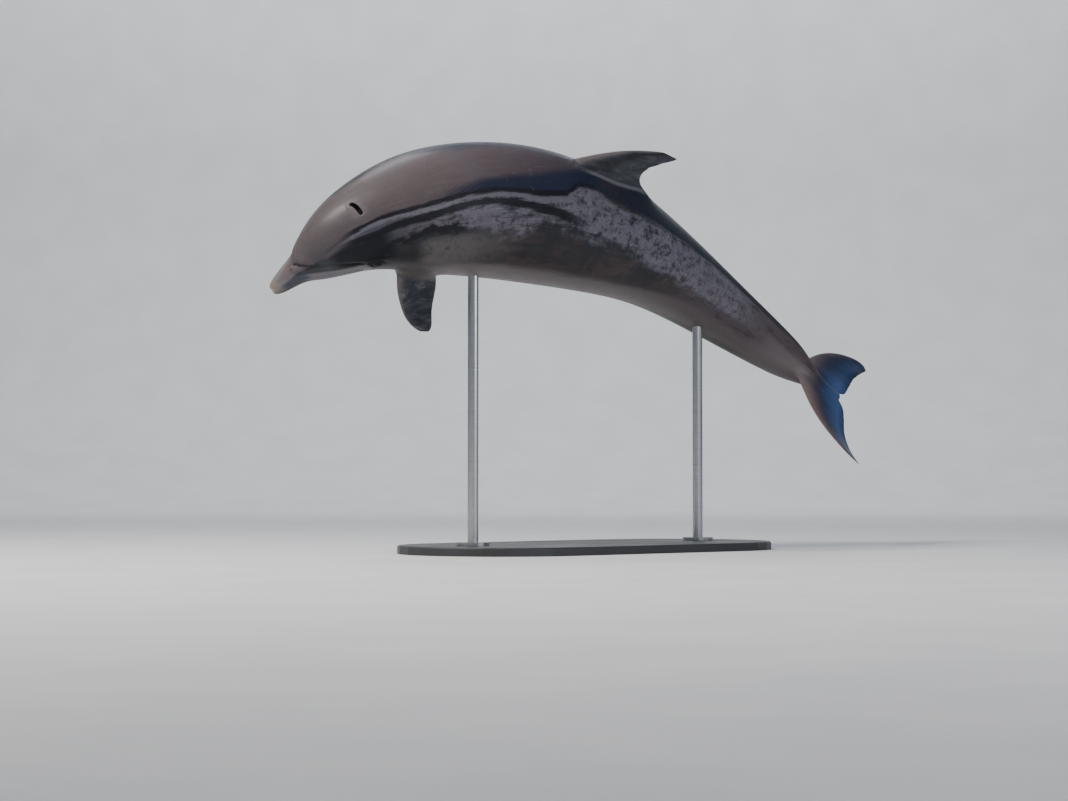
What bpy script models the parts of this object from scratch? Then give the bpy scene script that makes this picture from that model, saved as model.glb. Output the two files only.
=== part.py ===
"""Bottlenose dolphin, life size: a still display model in a leap, held by a flat base and two rods.

The animal is modelled straight and symmetric, as one control cage with a Subdivision Surface,
in its own axes: x runs from the beak tip to the fluke notch, y to its left, z to its back.
The spine is then bent into the leap, and thin cuts part the body into its named pieces.
"""

import math

import bmesh
import bpy
import numpy as np
from mathutils import Matrix, Vector

# ---------------------------------------------------------------- driving dimensions
LENGTH = 2.60           # m, beak tip to fluke notch along the spine; all body sizes are shares of it
CUT = 0.0004            # m, width of every parting cut
COLUMNS = 16            # corners of the cage round the body
RING_SWELL = 1.022      # makes up for what subdivision takes off a round ring

# Body rings: place along the spine, back above it, belly below it, half width,
# and how sharply the back and belly are keeled.
BODY_RINGS = (
    (0.0015, 0.0042, 0.0050, 0.0058, 0.0),      # beak tip
    (0.0090, 0.0076, 0.0104, 0.0104, 0.0),
    (0.0210, 0.0104, 0.0136, 0.0134, 0.0),
    (0.0340, 0.0130, 0.0158, 0.0160, 0.0),
    (0.0440, 0.0158, 0.0188, 0.0194, 0.0),      # crease below the melon
    (0.0520, 0.0225, 0.0215, 0.0244, 0.0),
    (0.0620, 0.0332, 0.0262, 0.0312, 0.0),
    (0.0770, 0.0430, 0.0334, 0.0380, 0.0),
    (0.0950, 0.0508, 0.0402, 0.0446, 0.0),
    (0.1130, 0.0548, 0.0462, 0.0494, 0.0),
    (0.1300, 0.0578, 0.0518, 0.0545, 0.0),      # blowhole and eyes
    (0.1500, 0.0606, 0.0590, 0.0608, 0.0),
    (0.1740, 0.0642, 0.0668, 0.0680, 0.0),      # flippers begin
    (0.1960, 0.0684, 0.0732, 0.0736, 0.0),
    (0.2180, 0.0728, 0.0784, 0.0782, 0.0),
    (0.2420, 0.0768, 0.0826, 0.0816, 0.0),      # flippers end
    (0.2820, 0.0834, 0.0874, 0.0850, 0.0),
    (0.3340, 0.0892, 0.0906, 0.0862, 0.0),
    (0.3880, 0.0906, 0.0908, 0.0852, 0.0),      # dorsal fin begins
    (0.4300, 0.0886, 0.0886, 0.0826, 0.0),
    (0.4720, 0.0842, 0.0848, 0.0792, 0.0),
    (0.5140, 0.0822, 0.0800, 0.0748, 0.0),
    (0.5560, 0.0766, 0.0742, 0.0690, 0.0),      # dorsal fin ends
    (0.6050, 0.0678, 0.0672, 0.0616, 0.05),
    (0.6600, 0.0586, 0.0604, 0.0526, 0.15),
    (0.7220, 0.0514, 0.0524, 0.0416, 0.32),
    (0.7860, 0.0450, 0.0438, 0.0314, 0.48),
    (0.8360, 0.0398, 0.0366, 0.0250, 0.55),
    (0.8780, 0.0342, 0.0304, 0.0204, 0.50),
    (0.9060, 0.0284, 0.0252, 0.0184, 0.34),     # flukes begin
    (0.9360, 0.0156, 0.0142, 0.0192, 0.12),
    (0.9620, 0.0064, 0.0062, 0.0184, 0.0),
    (0.9880, 0.0034, 0.0034, 0.0090, 0.0),      # flukes end
    (0.9904, 0.0020, 0.0020, 0.0050, 0.0),      # notch
)

# How much narrower the melon is than the lips below it, ring by ring.
MELON_PINCH = {0.0440: 0.08, 0.0520: 0.15, 0.0620: 0.19, 0.0770: 0.15, 0.0950: 0.07}

# Fins: each level gives its leading and trailing corner and its half thickness.
DORSAL_FIN_RINGS = (0.3880, 0.5560)
DORSAL_FIN = (          # (leading x, z), (trailing x, z), half thickness
    ((0.3945, 0.0985), (0.5340, 0.0868), 0.0125),
    ((0.4060, 0.1070), (0.5160, 0.0932), 0.0090),
    ((0.4270, 0.1190), (0.5038, 0.1058), 0.0074),
    ((0.4590, 0.1360), (0.5062, 0.1227), 0.0056),
    ((0.5099, 0.1508), (0.5412, 0.1490), 0.0024),
)
FLIPPER_RINGS = (0.1740, 0.2420)
FLIPPER_ROOT = 45.0     # degrees below the side where the flipper grows
FLIPPER_DROOP = 70.0    # degrees below level that it points
FLIPPER = (             # distance out from the root, leading x, trailing x, half thickness
    (0.0080, 0.1705, 0.2450, 0.0120),
    (0.0240, 0.1695, 0.2505, 0.0090),
    (0.0440, 0.1755, 0.2515, 0.0072),
    (0.0660, 0.1890, 0.2535, 0.0056),
    (0.0835, 0.2120, 0.2620, 0.0040),
    (0.0948, 0.2400, 0.2597, 0.0022),
)
FLUKE_RINGS = (0.9060, 0.9880)
FLUKE = (               # leading corner (out, x), trailing corner (out, x), half thickness
    ((0.0260, 0.9205), (0.0165, 1.0025), 0.0090),
    ((0.0480, 0.9310), (0.0375, 1.0050), 0.0066),
    ((0.0730, 0.9440), (0.0560, 1.0090), 0.0049),
    ((0.0970, 0.9680), (0.0760, 1.0170), 0.0034),
    ((0.1110, 1.0060), (0.0950, 1.0285), 0.0022),
    ((0.1145, 1.0290), (0.1125, 1.0375), 0.0011),
)
# How far the tail beat lifts each level's leading and trailing corner, left fluke and right fluke.
FLUKE_FLEX = {
    1.0: ((-0.0055, -0.0040), (-0.0100, -0.0075), (-0.0135, -0.0125), (-0.0142, -0.0160), (-0.0100, -0.0137),
          (-0.0055, -0.0070)),
    -1.0: ((0.0022, -0.0010), (0.0068, 0.0010), (0.0130, 0.0045), (0.0195, 0.0080), (0.0130, -0.0005),
           (0.0000, -0.0070)),
}

# The leap. At mid-body the animal heads HEADING to the right of -X seen from above, noses up
# and banks its left side down. The bends are degrees per body length at BEND_PLACES.
HEADING, NOSE_UP, BANK = 43.2, 10.9, 47.0
BEND_PLACES = (0.03, 0.10, 0.17, 0.25, 0.45, 0.65, 0.85, 1.00)
BEND_DOWN = (-15, 320, 275, 125, 45, 50, -40, -20)
BEND_LEFT = (-15, 75, 95, 30, 30, 70, 130, -55)
TWIST = (0, 10, -20, -70, -10, -90, 60, 180)
SPINE_FROM, SPINE_TO, SPINE_STEP = -0.02, 1.06, 0.005

# Head details, as shares of LENGTH unless named otherwise.
MOUTH_LINE = ((-0.02, 0.0000), (0.000, 0.0000), (0.030, 0.0015), (0.060, -0.0015),
              (0.085, -0.0060), (0.103, -0.0065), (0.114, -0.0040), (0.118, -0.0400),
              (0.118, -0.0900))
EYE_AT, EYE_HEIGHT, EYE_SINK = 0.1300, 0.0040, 0.0046
EYE_RADIUS = 0.0165     # m
BLOWHOLE_AT = 0.1300
BLOWHOLE_WIDTH, BLOWHOLE_SLOT, BLOWHOLE_DEPTH = 0.036, 0.005, 0.008     # m

# Parting cuts, as shares of LENGTH.
HEAD_END, TAIL_START, FLUKE_START = 0.160, 0.600, 0.902
FIN_ROOT_RISE = 0.0065  # fins are parted this far above the skin, at the top of their fillet
SHEET_STEP = 0.03

# Stand (metres).
LOWEST_POINT = 0.30     # the left fluke tip above the floor
BASE_LENGTH, BASE_WIDTH, BASE_THICK, BASE_BEVEL = 1.50, 0.70, 0.028, 0.004
ROD_PLACES = (("front", 0.300), ("rear", 0.720))
ROD_RADIUS, ROD_DEPTH = 0.018, 0.045
FOOT_RADIUS, FOOT_HEIGHT = 0.055, 0.012

MATERIALS = {           # sRGB colour, roughness, metallic
    "wet_skin_back": ((0.36, 0.32, 0.33), 0.25, 0.0),
    "wet_skin_flank": ((0.44, 0.41, 0.41), 0.25, 0.0),
    "wet_skin_fin": ((0.26, 0.23, 0.24), 0.25, 0.0),
    "eye_dark": ((0.03, 0.02, 0.02), 0.08, 0.0),
    "base_paint": ((0.20, 0.21, 0.22), 0.45, 0.0),
    "rod_steel": ((0.72, 0.73, 0.74), 0.30, 1.0),
}


# ---------------------------------------------------------------- the spine
def turned(axes, axis, degrees):
    """The three axes (rows) turned about one of them."""
    rotation = np.array(Matrix.Rotation(math.radians(degrees), 3, Vector(axis)))
    return axes @ rotation.T


def spine():
    """Places, centre points and axes (forward, left, up) along the bent spine."""
    forward, left, up = np.array((-1.0, 0, 0)), np.array((0, -1.0, 0)), np.array((0, 0, 1.0))
    middle = np.array((forward, left, up))
    middle = turned(middle, forward, -BANK)
    middle = turned(middle, left, -NOSE_UP)
    middle = turned(middle, up, HEADING)
    places = np.arange(SPINE_FROM, SPINE_TO + SPINE_STEP / 2, SPINE_STEP)
    centres = np.zeros((len(places), 3))
    axes = np.zeros((len(places), 3, 3))
    start = int(round((0.5 - SPINE_FROM) / SPINE_STEP))
    axes[start] = middle
    for way in (-1, 1):
        here = start
        while 0 <= here + way < len(places):
            centres[here + way] = centres[here] - way * axes[here][0] * SPINE_STEP * LENGTH
            rates = [np.interp(places[here], BEND_PLACES, bend) for bend in (TWIST, BEND_DOWN, BEND_LEFT)]
            bend = sum(rate * axis for rate, axis in zip(rates, axes[here])) * -way * SPINE_STEP
            angle = float(np.linalg.norm(bend))
            axes[here + way] = turned(axes[here], bend / angle, angle)
            here += way
    return places, centres, axes


PLACES, CENTRES, AXES = spine()


def posed(points):
    """World points for points of the straight animal, in metres."""
    points = np.atleast_2d(np.array(points, float))
    where = points[:, 0] / LENGTH
    centre = np.stack([np.interp(where, PLACES, CENTRES[:, k]) for k in range(3)], axis=1)
    left = np.stack([np.interp(where, PLACES, AXES[:, 1, k]) for k in range(3)], axis=1)
    up = np.stack([np.interp(where, PLACES, AXES[:, 2, k]) for k in range(3)], axis=1)
    return centre + left * points[:, 1:2] + up * points[:, 2:3]


def body_size(place):
    """Back, belly and half width at a place, as shares of LENGTH."""
    stations = [ring[0] for ring in BODY_RINGS]
    return [float(np.interp(place, stations, [ring[k] for ring in BODY_RINGS])) for k in (1, 2, 3)]


# ---------------------------------------------------------------- the control cage
def ring_corner(ring, column):
    """A corner of a body ring; column 0 is left of the back's ridge and they run down the left."""
    place, back, belly, width, keel = ring
    angle = math.radians(90.0 - (column + 0.5) * 360.0 / COLUMNS)
    side, height = math.cos(angle), math.sin(angle)
    side = math.copysign(abs(side) ** (1.0 + keel), side)
    if height > 0:
        side *= 1.0 - MELON_PINCH.get(place, 0.0)
    reach = back if height > 0 else belly
    return Vector((place, width * side * RING_SWELL, reach * height * RING_SWELL)) * LENGTH


def grow_fin(cage, layers, rows, columns, levels):
    """Extrude the body faces between two rings and two columns through the fin's levels."""
    row, column = layers
    first, last = rows
    tip = [face for face in cage.faces
           if all(first <= v[row] <= last and v[column] in columns for v in face.verts)]
    for level in levels:
        grown = bmesh.ops.extrude_face_region(cage, geom=tip)["geom"]
        left_over = [face for face in tip if face.is_valid]
        bmesh.ops.delete(cage, geom=left_over, context="FACES")
        tip = [item for item in grown if isinstance(item, bmesh.types.BMFace)]
        for vert in {vert for face in tip for vert in face.verts}:
            along = (vert[row] - first) / (last - first)
            vert.co = level(along, columns.index(vert[column])) * LENGTH


def section(along, thickness):
    """Where a fin's corner lies across its chord: share from the leading edge, half thickness."""
    chord = (0.0, 0.12, 0.45, 0.80, 1.0)
    thick = (0.34, 0.86, 1.0, 0.52, 0.14)
    steps = np.linspace(0.0, 1.0, len(chord))
    return float(np.interp(along, steps, chord)), float(np.interp(along, steps, thick)) * thickness


def dorsal_level(level):
    (lead_x, lead_z), (trail_x, trail_z), half = level

    def corner(along, side):
        chord, thick = section(along, half)
        sign = 1.0 if side == 1 else -1.0
        return Vector((lead_x + (trail_x - lead_x) * chord, sign * thick,
                       lead_z + (trail_z - lead_z) * chord))
    return corner


def flipper_level(level, sign):
    out, lead_x, trail_x, half = level
    back, belly, width = body_size(sum(FLIPPER_RINGS) / 2)
    root, droop = math.radians(FLIPPER_ROOT), math.radians(FLIPPER_DROOP)
    side = width * math.cos(root) + out * math.cos(droop)
    height = -belly * math.sin(root) - out * math.sin(droop)

    def corner(along, upper):
        chord, thick = section(along, half)
        offset = thick if upper else -thick
        return Vector((lead_x + (trail_x - lead_x) * chord,
                       sign * (side + offset * math.sin(droop)), height + offset * math.cos(droop)))
    return corner


def fluke_level(number, sign):
    (lead_out, lead_x), (trail_out, trail_x), half = FLUKE[number]
    lead_rise, trail_rise = FLUKE_FLEX[sign][number]

    def corner(along, upper):
        chord, thick = section(along, half)
        return Vector((lead_x + (trail_x - lead_x) * chord,
                       sign * (lead_out + (trail_out - lead_out) * chord),
                       lead_rise + (trail_rise - lead_rise) * chord + (thick if upper else -thick)))
    return corner


def animal_cage():
    """The whole straight animal as one closed cage of quads."""
    cage = bmesh.new()
    row, column = cage.verts.layers.int.new("row"), cage.verts.layers.int.new("column")
    loop = bmesh.ops.create_circle(cage, segments=COLUMNS, radius=1.0)["verts"]
    for number, vert in enumerate(loop):
        vert[column] = number
        vert.co = ring_corner(BODY_RINGS[0], number)
    for number, ring in enumerate(BODY_RINGS[1:], start=1):
        edges = [edge for edge in cage.edges if all(v[row] == number - 1 for v in edge.verts)]
        grown = bmesh.ops.extrude_edge_only(cage, edges=edges)["geom"]
        for vert in (item for item in grown if isinstance(item, bmesh.types.BMVert)):
            vert[row] = number
            vert.co = ring_corner(ring, vert[column])
    for end in (0, len(BODY_RINGS) - 1):
        corners = {vert[column]: vert for vert in cage.verts if vert[row] == end}
        # each back corner is joined to the belly corner below it, from the left side to the right
        pairs = [(corners[(3 - k) % COLUMNS], corners[(4 + k) % COLUMNS]) for k in range(COLUMNS // 2)]
        for (top_a, low_a), (top_b, low_b) in zip(pairs, pairs[1:]):
            cage.faces.new((top_a, top_b, low_b, low_a))
    bmesh.ops.recalc_face_normals(cage, faces=cage.faces)

    stations = [ring[0] for ring in BODY_RINGS]
    layers = (row, column)
    top = (COLUMNS - 1, 0)
    rows = tuple(stations.index(place) for place in DORSAL_FIN_RINGS)
    grow_fin(cage, layers, rows, top, [dorsal_level(level) for level in DORSAL_FIN])
    flipper_columns = {1.0: (6, 5), -1.0: (9, 10)}
    fluke_columns = {1.0: (4, 3), -1.0: (11, 12)}
    for sign in (1.0, -1.0):
        rows = tuple(stations.index(place) for place in FLIPPER_RINGS)
        grow_fin(cage, layers, rows, flipper_columns[sign], [flipper_level(level, sign) for level in FLIPPER])
        rows = tuple(stations.index(place) for place in FLUKE_RINGS)
        levels = [fluke_level(number, sign) for number in range(len(FLUKE))]
        grow_fin(cage, layers, rows, fluke_columns[sign], levels)
    bmesh.ops.recalc_face_normals(cage, faces=cage.faces)
    return cage


# ---------------------------------------------------------------- building blocks
def new_object(name, mesh, material=None):
    thing = bpy.data.objects.new(name, mesh)
    bpy.context.collection.objects.link(thing)
    if material:
        mesh.materials.clear()
        mesh.materials.append(material)
    return thing


def mesh_of(cage):
    mesh = bpy.data.meshes.new("mesh")
    cage.to_mesh(mesh)
    cage.free()
    return mesh


def evaluated_mesh(thing):
    graph = bpy.context.evaluated_depsgraph_get()
    return bpy.data.meshes.new_from_object(thing.evaluated_get(graph))


def cut_away(thing, cutter, solver="EXACT"):
    """Take the cutter out of the thing, and the cutter out of the scene."""
    cutter.hide_render = True
    cutter.display_type = "WIRE"
    modifier = thing.modifiers.new("cut", "BOOLEAN")
    modifier.operation = "DIFFERENCE"
    modifier.solver = solver
    modifier.object = cutter
    thing.data = evaluated_mesh(thing)
    thing.modifiers.clear()
    bpy.data.objects.remove(cutter)


def cylinder(radius, bottom, top, at=(0.0, 0.0), sides=18, bore=None):
    """An upright cylinder, or a ring when it has a bore."""
    solid = bmesh.new()
    outer = bmesh.ops.create_circle(solid, segments=sides, radius=radius)["verts"]
    edges = list({edge for vert in outer for edge in vert.link_edges})
    if bore:
        inner = bmesh.ops.create_circle(solid, segments=sides, radius=bore)["verts"]
        edges += list({edge for vert in inner for edge in vert.link_edges})
        floor = bmesh.ops.bridge_loops(solid, edges=edges)["faces"]
    else:
        floor = [solid.faces.new(outer)]
    grown = bmesh.ops.extrude_face_region(solid, geom=floor, use_keep_orig=True)["geom"]
    lifted = [item for item in grown if isinstance(item, bmesh.types.BMVert)]
    bmesh.ops.translate(solid, vec=(0, 0, top - bottom), verts=lifted)
    bmesh.ops.translate(solid, vec=(at[0], at[1], bottom), verts=solid.verts)
    bmesh.ops.recalc_face_normals(solid, faces=solid.faces)
    return mesh_of(solid)


def posed_sheet(line, outward, sideways, low, high, thick=CUT):
    """A thin cutter that bends with the spine.

    line holds (x, distance along outward) as shares of LENGTH; the sheet runs along sideways
    from low to high. outward and sideways are (left, up) directions of the straight animal.
    """
    stations = []
    for (x0, d0), (x1, d1) in zip(line, line[1:]):
        steps = max(1, int(math.ceil(abs(x1 - x0) / SHEET_STEP)))
        stations += [(x0 + (x1 - x0) * k / steps, d0 + (d1 - d0) * k / steps) for k in range(steps)]
    stations = [Vector(point) * LENGTH for point in stations + [line[-1]]]
    sheet = bmesh.new()
    rings = []
    for number, point in enumerate(stations):
        before = stations[max(number - 1, 0)]
        after = stations[min(number + 1, len(stations) - 1)]
        along = (after - before).normalized()
        offset = Vector((-along.y, along.x)) * thick / 2
        corners = [(point + offset, high), (point + offset, low), (point - offset, low), (point - offset, high)]
        places = [(p.x, p.y * outward[0] + reach * LENGTH * sideways[0],
                   p.y * outward[1] + reach * LENGTH * sideways[1]) for p, reach in corners]
        rings.append([sheet.verts.new(place) for place in posed(places)])
    for (a, b, c, d), (e, f, g, h) in zip(rings, rings[1:]):
        # the wide sides are split along matching diagonals, so the twisted sheet stays even
        for corners in ((a, b, f), (a, f, e), (c, d, g), (d, h, g), (b, c, g, f), (d, a, e, h)):
            sheet.faces.new(corners)
    sheet.faces.new(rings[0])
    sheet.faces.new(rings[-1])
    bmesh.ops.recalc_face_normals(sheet, faces=sheet.faces)
    return new_object("cutter", mesh_of(sheet))


def cross_cut(place, reach):
    """A flat cut right across the body."""
    return posed_sheet(((place, -reach), (place, reach)), (0, 1), (1, 0), -reach, reach)


def ball(radius, centre, segments=12, rings=8):
    solid = bmesh.new()
    bmesh.ops.create_uvsphere(solid, u_segments=segments, v_segments=rings, radius=radius)
    bmesh.ops.translate(solid, vec=centre, verts=solid.verts)
    return mesh_of(solid)


# ---------------------------------------------------------------- the animal
def whole_animal():
    """The bent animal in one piece."""
    straight = new_object("cage", mesh_of(animal_cage()))
    smooth = straight.modifiers.new("smooth", "SUBSURF")
    smooth.levels = smooth.render_levels = 1
    mesh = evaluated_mesh(straight)
    bpy.data.objects.remove(straight)
    points = posed([vert.co[:] for vert in mesh.vertices])
    for vert, point in zip(mesh.vertices, points):
        vert.co = point
    mesh.flip_normals()     # x back, y left, z up is a left-handed set, so bending mirrors the faces
    return new_object("whole", mesh)


def blowhole_cutter():
    """A crescent slot across the top of the head, its horns towards the beak."""
    slot = bmesh.new()
    back = body_size(BLOWHOLE_AT)[0] * LENGTH
    radius = BLOWHOLE_WIDTH / 2
    rings = []
    for angle in np.linspace(-100.0, 100.0, 9):
        turn = math.radians(angle)
        half = BLOWHOLE_SLOT / 2 * math.cos(turn / 1.25) + 0.0002
        ring = []
        for reach, height in ((half, 1), (-half, 1), (-half, 0), (half, 0)):
            x = BLOWHOLE_AT * LENGTH + (radius + reach) * math.cos(turn) * 0.7
            y = (radius + reach) * math.sin(turn)
            z = back + BLOWHOLE_DEPTH if height else back - BLOWHOLE_DEPTH
            ring.append((x, y, z))
        rings.append([slot.verts.new(place) for place in posed(ring)])
    for ring, following in zip(rings, rings[1:]):
        for k in range(4):
            slot.faces.new((ring[k], ring[(k + 1) % 4], following[(k + 1) % 4], following[k]))
    slot.faces.new(rings[0])
    slot.faces.new(rings[-1])
    bmesh.ops.recalc_face_normals(slot, faces=slot.faces)
    return new_object("cutter", mesh_of(slot))


def eye_centre(sign):
    back, belly, width = body_size(EYE_AT)
    side = width * math.sqrt(1.0 - (EYE_HEIGHT / back) ** 2) - EYE_SINK
    return posed((EYE_AT * LENGTH, sign * side * LENGTH, EYE_HEIGHT * LENGTH))[0]


def flipper_cut(sign):
    """Parts a flipper from the flank, along the flank."""
    root = math.radians(FLIPPER_ROOT)
    line = []
    for place in np.linspace(FLIPPER_RINGS[0] - 0.012, FLIPPER_RINGS[1] + 0.014, 5):
        back, belly, width = body_size(place)
        radius = math.hypot(width * math.cos(root), belly * math.sin(root))
        line.append((float(place), radius + FIN_ROOT_RISE * 1.6))
    outward = (sign * math.cos(root), -math.sin(root))
    return posed_sheet(line, outward, (sign * math.sin(root), math.cos(root)), -0.045, 0.035)


def dorsal_cut():
    line = [(float(place), body_size(place)[0] + FIN_ROOT_RISE)
            for place in np.linspace(DORSAL_FIN_RINGS[0] - 0.010, DORSAL_FIN_RINGS[1] + 0.010, 7)]
    return posed_sheet(line, (0, 1), (1, 0), -0.045, 0.045)


def part_by_cuts(whole):
    """Cut the whole animal, one thin cut at a time, and name both pieces of each cut."""
    flipper_mark = Vector(flipper_level(FLIPPER[3], 1.0)(0.5, 1))
    marks = {"head": (0.09, 0.0, 0.05), "lower_jaw": (0.06, 0.0, -0.026), "trunk": (0.33, 0.0, 0.09),
             "rear": (0.75, 0.0, 0.049), "tail_stock": (0.75, 0.0, 0.049), "flukes": (0.98, 0.07, 0.0),
             "fluke_left": (0.98, 0.07, 0.0), "fluke_right": (0.98, -0.07, 0.0),
             "dorsal_fin": (0.47, 0.0, 0.14), "flipper_left": flipper_mark,
             "flipper_right": flipper_mark * Vector((1.0, -1.0, 1.0))}
    cuts = (
        ("whole", cross_cut(HEAD_END, 0.080), "head", "trunk"),
        ("trunk", cross_cut(TAIL_START, 0.078), "trunk", "rear"),
        ("rear", cross_cut(FLUKE_START, 0.034), "tail_stock", "flukes"),
        ("flukes", posed_sheet(((0.90, 0.0), (1.02, 0.0)), (1, 0), (0, 1), -0.040, 0.040),
         "fluke_left", "fluke_right"),
        ("head", posed_sheet(MOUTH_LINE, (0, 1), (1, 0), -0.080, 0.080), "head", "lower_jaw"),
        ("trunk", dorsal_cut(), "trunk", "dorsal_fin"),
        ("trunk", flipper_cut(1.0), "trunk", "flipper_left"),
        ("trunk", flipper_cut(-1.0), "trunk", "flipper_right"),
    )
    pieces = {"whole": whole}
    for source, cutter, first, second in cuts:
        solid = pieces.pop(source)
        # the exact solver loses one half of the thin flukes
        cut_away(solid, cutter, "MANIFOLD" if source == "flukes" else "EXACT")
        halves = split_in_two(solid, {first: marks[first], second: marks[second]})
        bpy.data.objects.remove(solid)
        for name, mesh in halves.items():
            pieces[name] = new_object(name, mesh)
    cut_away(pieces["head"], blowhole_cutter())
    for sign in (1.0, -1.0):
        cut_away(pieces["head"], new_object("cutter", ball(EYE_RADIUS + CUT, eye_centre(sign))))
    return pieces


def split_in_two(solid, marks):
    """The two connected halves of a solid, each named for the mark that lies nearer to it."""
    mesh = bmesh.new()
    mesh.from_mesh(solid.data)
    mesh.verts.ensure_lookup_table()
    half, growing = set(), [mesh.verts[0]]
    while growing:
        vert = growing.pop()
        if vert not in half:
            half.add(vert)
            growing += [edge.other_vert(vert) for edge in vert.link_edges]
    numbers = {vert.index for vert in half}
    halves = {}
    points = {name: Vector(posed(np.array(mark) * LENGTH)[0]) for name, mark in marks.items()}
    for wanted in (True, False):
        part = mesh.copy()
        part.verts.ensure_lookup_table()
        bmesh.ops.delete(part, geom=[v for v in part.verts if (v.index in numbers) != wanted], context="VERTS")
        if not part.verts:
            raise RuntimeError("a cut did not part " + " and ".join(marks))
        name = min(points, key=lambda name: min((vert.co - points[name]).length for vert in part.verts))
        del points[name]
        halves[name] = mesh_of(part)
    mesh.free()
    return halves


# ---------------------------------------------------------------- the stand
def stadium(length, width, thick, sides=14):
    """A plate with round ends, its underside at zero, along X."""
    radius, straight = width / 2, (length - width) / 2
    plate = bmesh.new()
    outline = []
    for end, start in ((1, -90.0), (-1, 90.0)):
        for angle in np.linspace(start, start + 180.0, sides + 1):
            turn = math.radians(angle)
            outline.append((end * straight + radius * math.cos(turn), radius * math.sin(turn), 0.0))
    floor = plate.faces.new([plate.verts.new(corner) for corner in outline])
    grown = bmesh.ops.extrude_face_region(plate, geom=[floor], use_keep_orig=True)["geom"]
    lifted = [item for item in grown if isinstance(item, bmesh.types.BMVert)]
    bmesh.ops.translate(plate, vec=(0, 0, thick), verts=lifted)
    bmesh.ops.recalc_face_normals(plate, faces=plate.faces)
    rim = [edge for edge in plate.edges if all(abs(v.co.z - thick) < 1e-6 for v in edge.verts)]
    bmesh.ops.bevel(plate, geom=rim, offset=BASE_BEVEL, segments=1, affect="EDGES")
    return mesh_of(plate)


def underside(thing, at):
    """Height of the lowest point of a piece straight above a place on the floor."""
    inverse = thing.matrix_world.inverted()
    hit, where, normal, face = thing.ray_cast(inverse @ Vector((at[0], at[1], 0.0)), Vector((0, 0, 1)))
    if not hit:
        raise RuntimeError("a rod misses the body")
    return (thing.matrix_world @ where).z


def stand(pieces, lift):
    """Base, two rods and their feet; each rod stands in a socket bored up into the body."""
    made, feet = {}, []
    for (end, place), holder in zip(ROD_PLACES, ("trunk", "tail_stock")):
        centre = posed((place * LENGTH, 0, 0))[0] + lift
        at = (centre[0], centre[1])
        top = underside(pieces[holder], at) + ROD_DEPTH
        socket = new_object("cutter", cylinder(ROD_RADIUS + CUT, BASE_THICK, top + CUT, at))
        socket.location = -pieces[holder].location
        bpy.context.view_layer.update()
        cut_away(pieces[holder], socket)
        made["stand_rod_" + end] = cylinder(ROD_RADIUS, BASE_THICK + CUT, top, at)
        made["stand_foot_" + end] = cylinder(FOOT_RADIUS, BASE_THICK + CUT, BASE_THICK + FOOT_HEIGHT, at,
                                             bore=ROD_RADIUS + CUT)
        feet.append(Vector(at))
    base = stadium(BASE_LENGTH, BASE_WIDTH, BASE_THICK)
    run = feet[1] - feet[0]
    middle = (feet[0] + feet[1]) / 2
    base.transform(Matrix.Translation((middle.x, middle.y, 0)) @ Matrix.Rotation(math.atan2(run.y, run.x), 4, "Z"))
    made["stand_base"] = base
    return {name: new_object(name, mesh) for name, mesh in made.items()}


# ---------------------------------------------------------------- finish
def material(name):
    colour, roughness, metallic = MATERIALS[name]
    made = bpy.data.materials.new(name)
    made.use_nodes = True
    shader = made.node_tree.nodes["Principled BSDF"]
    shader.inputs["Base Color"].default_value = [c ** 2.2 for c in colour] + [1.0]
    shader.inputs["Roughness"].default_value = roughness
    shader.inputs["Metallic"].default_value = metallic
    made.diffuse_color = [*colour, 1.0]
    return made


def box(things):
    corners = [thing.matrix_world @ vert.co for thing in things for vert in thing.data.vertices]
    return [Vector(pick(c[k] for c in corners) for k in range(3)) for pick in (min, max)]


def finish_of(name):
    if name.startswith("eye"):
        return "eye_dark"
    if name == "stand_base":
        return "base_paint"
    if name.startswith("stand"):
        return "rod_steel"
    if "fin" in name or "fl" in name:
        return "wet_skin_fin"
    return "wet_skin_flank" if name == "lower_jaw" else "wet_skin_back"


def main():
    for thing in list(bpy.data.objects):
        bpy.data.objects.remove(thing)
    pieces = part_by_cuts(whole_animal())
    for side, sign in (("left", 1.0), ("right", -1.0)):
        pieces["eye_" + side] = new_object("eye_" + side, ball(EYE_RADIUS, eye_centre(sign)))

    low, high = box(pieces.values())
    lift = Vector((-(low.x + high.x) / 2, -(low.y + high.y) / 2, LOWEST_POINT - low.z))
    for thing in pieces.values():
        thing.data.transform(Matrix.Translation(lift))
    pieces.update(stand(pieces, np.array(lift)))
    low, high = box(pieces.values())
    for thing in pieces.values():
        thing.data.transform(Matrix.Translation((-(low.x + high.x) / 2, -(low.y + high.y) / 2, 0.0)))
    finishes = {name: material(name) for name in MATERIALS}
    for name, thing in pieces.items():
        thing.data.materials.clear()
        thing.data.materials.append(finishes[finish_of(name)])
        thing.data.shade_smooth()
        thing.data.set_sharp_from_angle(angle=math.radians(40))


main()
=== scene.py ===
"""Bottlenose dolphin, life size: a still display model in mid leap, on a flat base and two rods."""

import math

import bmesh
import bpy
import numpy as np
from mathutils import Matrix, Vector


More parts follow.
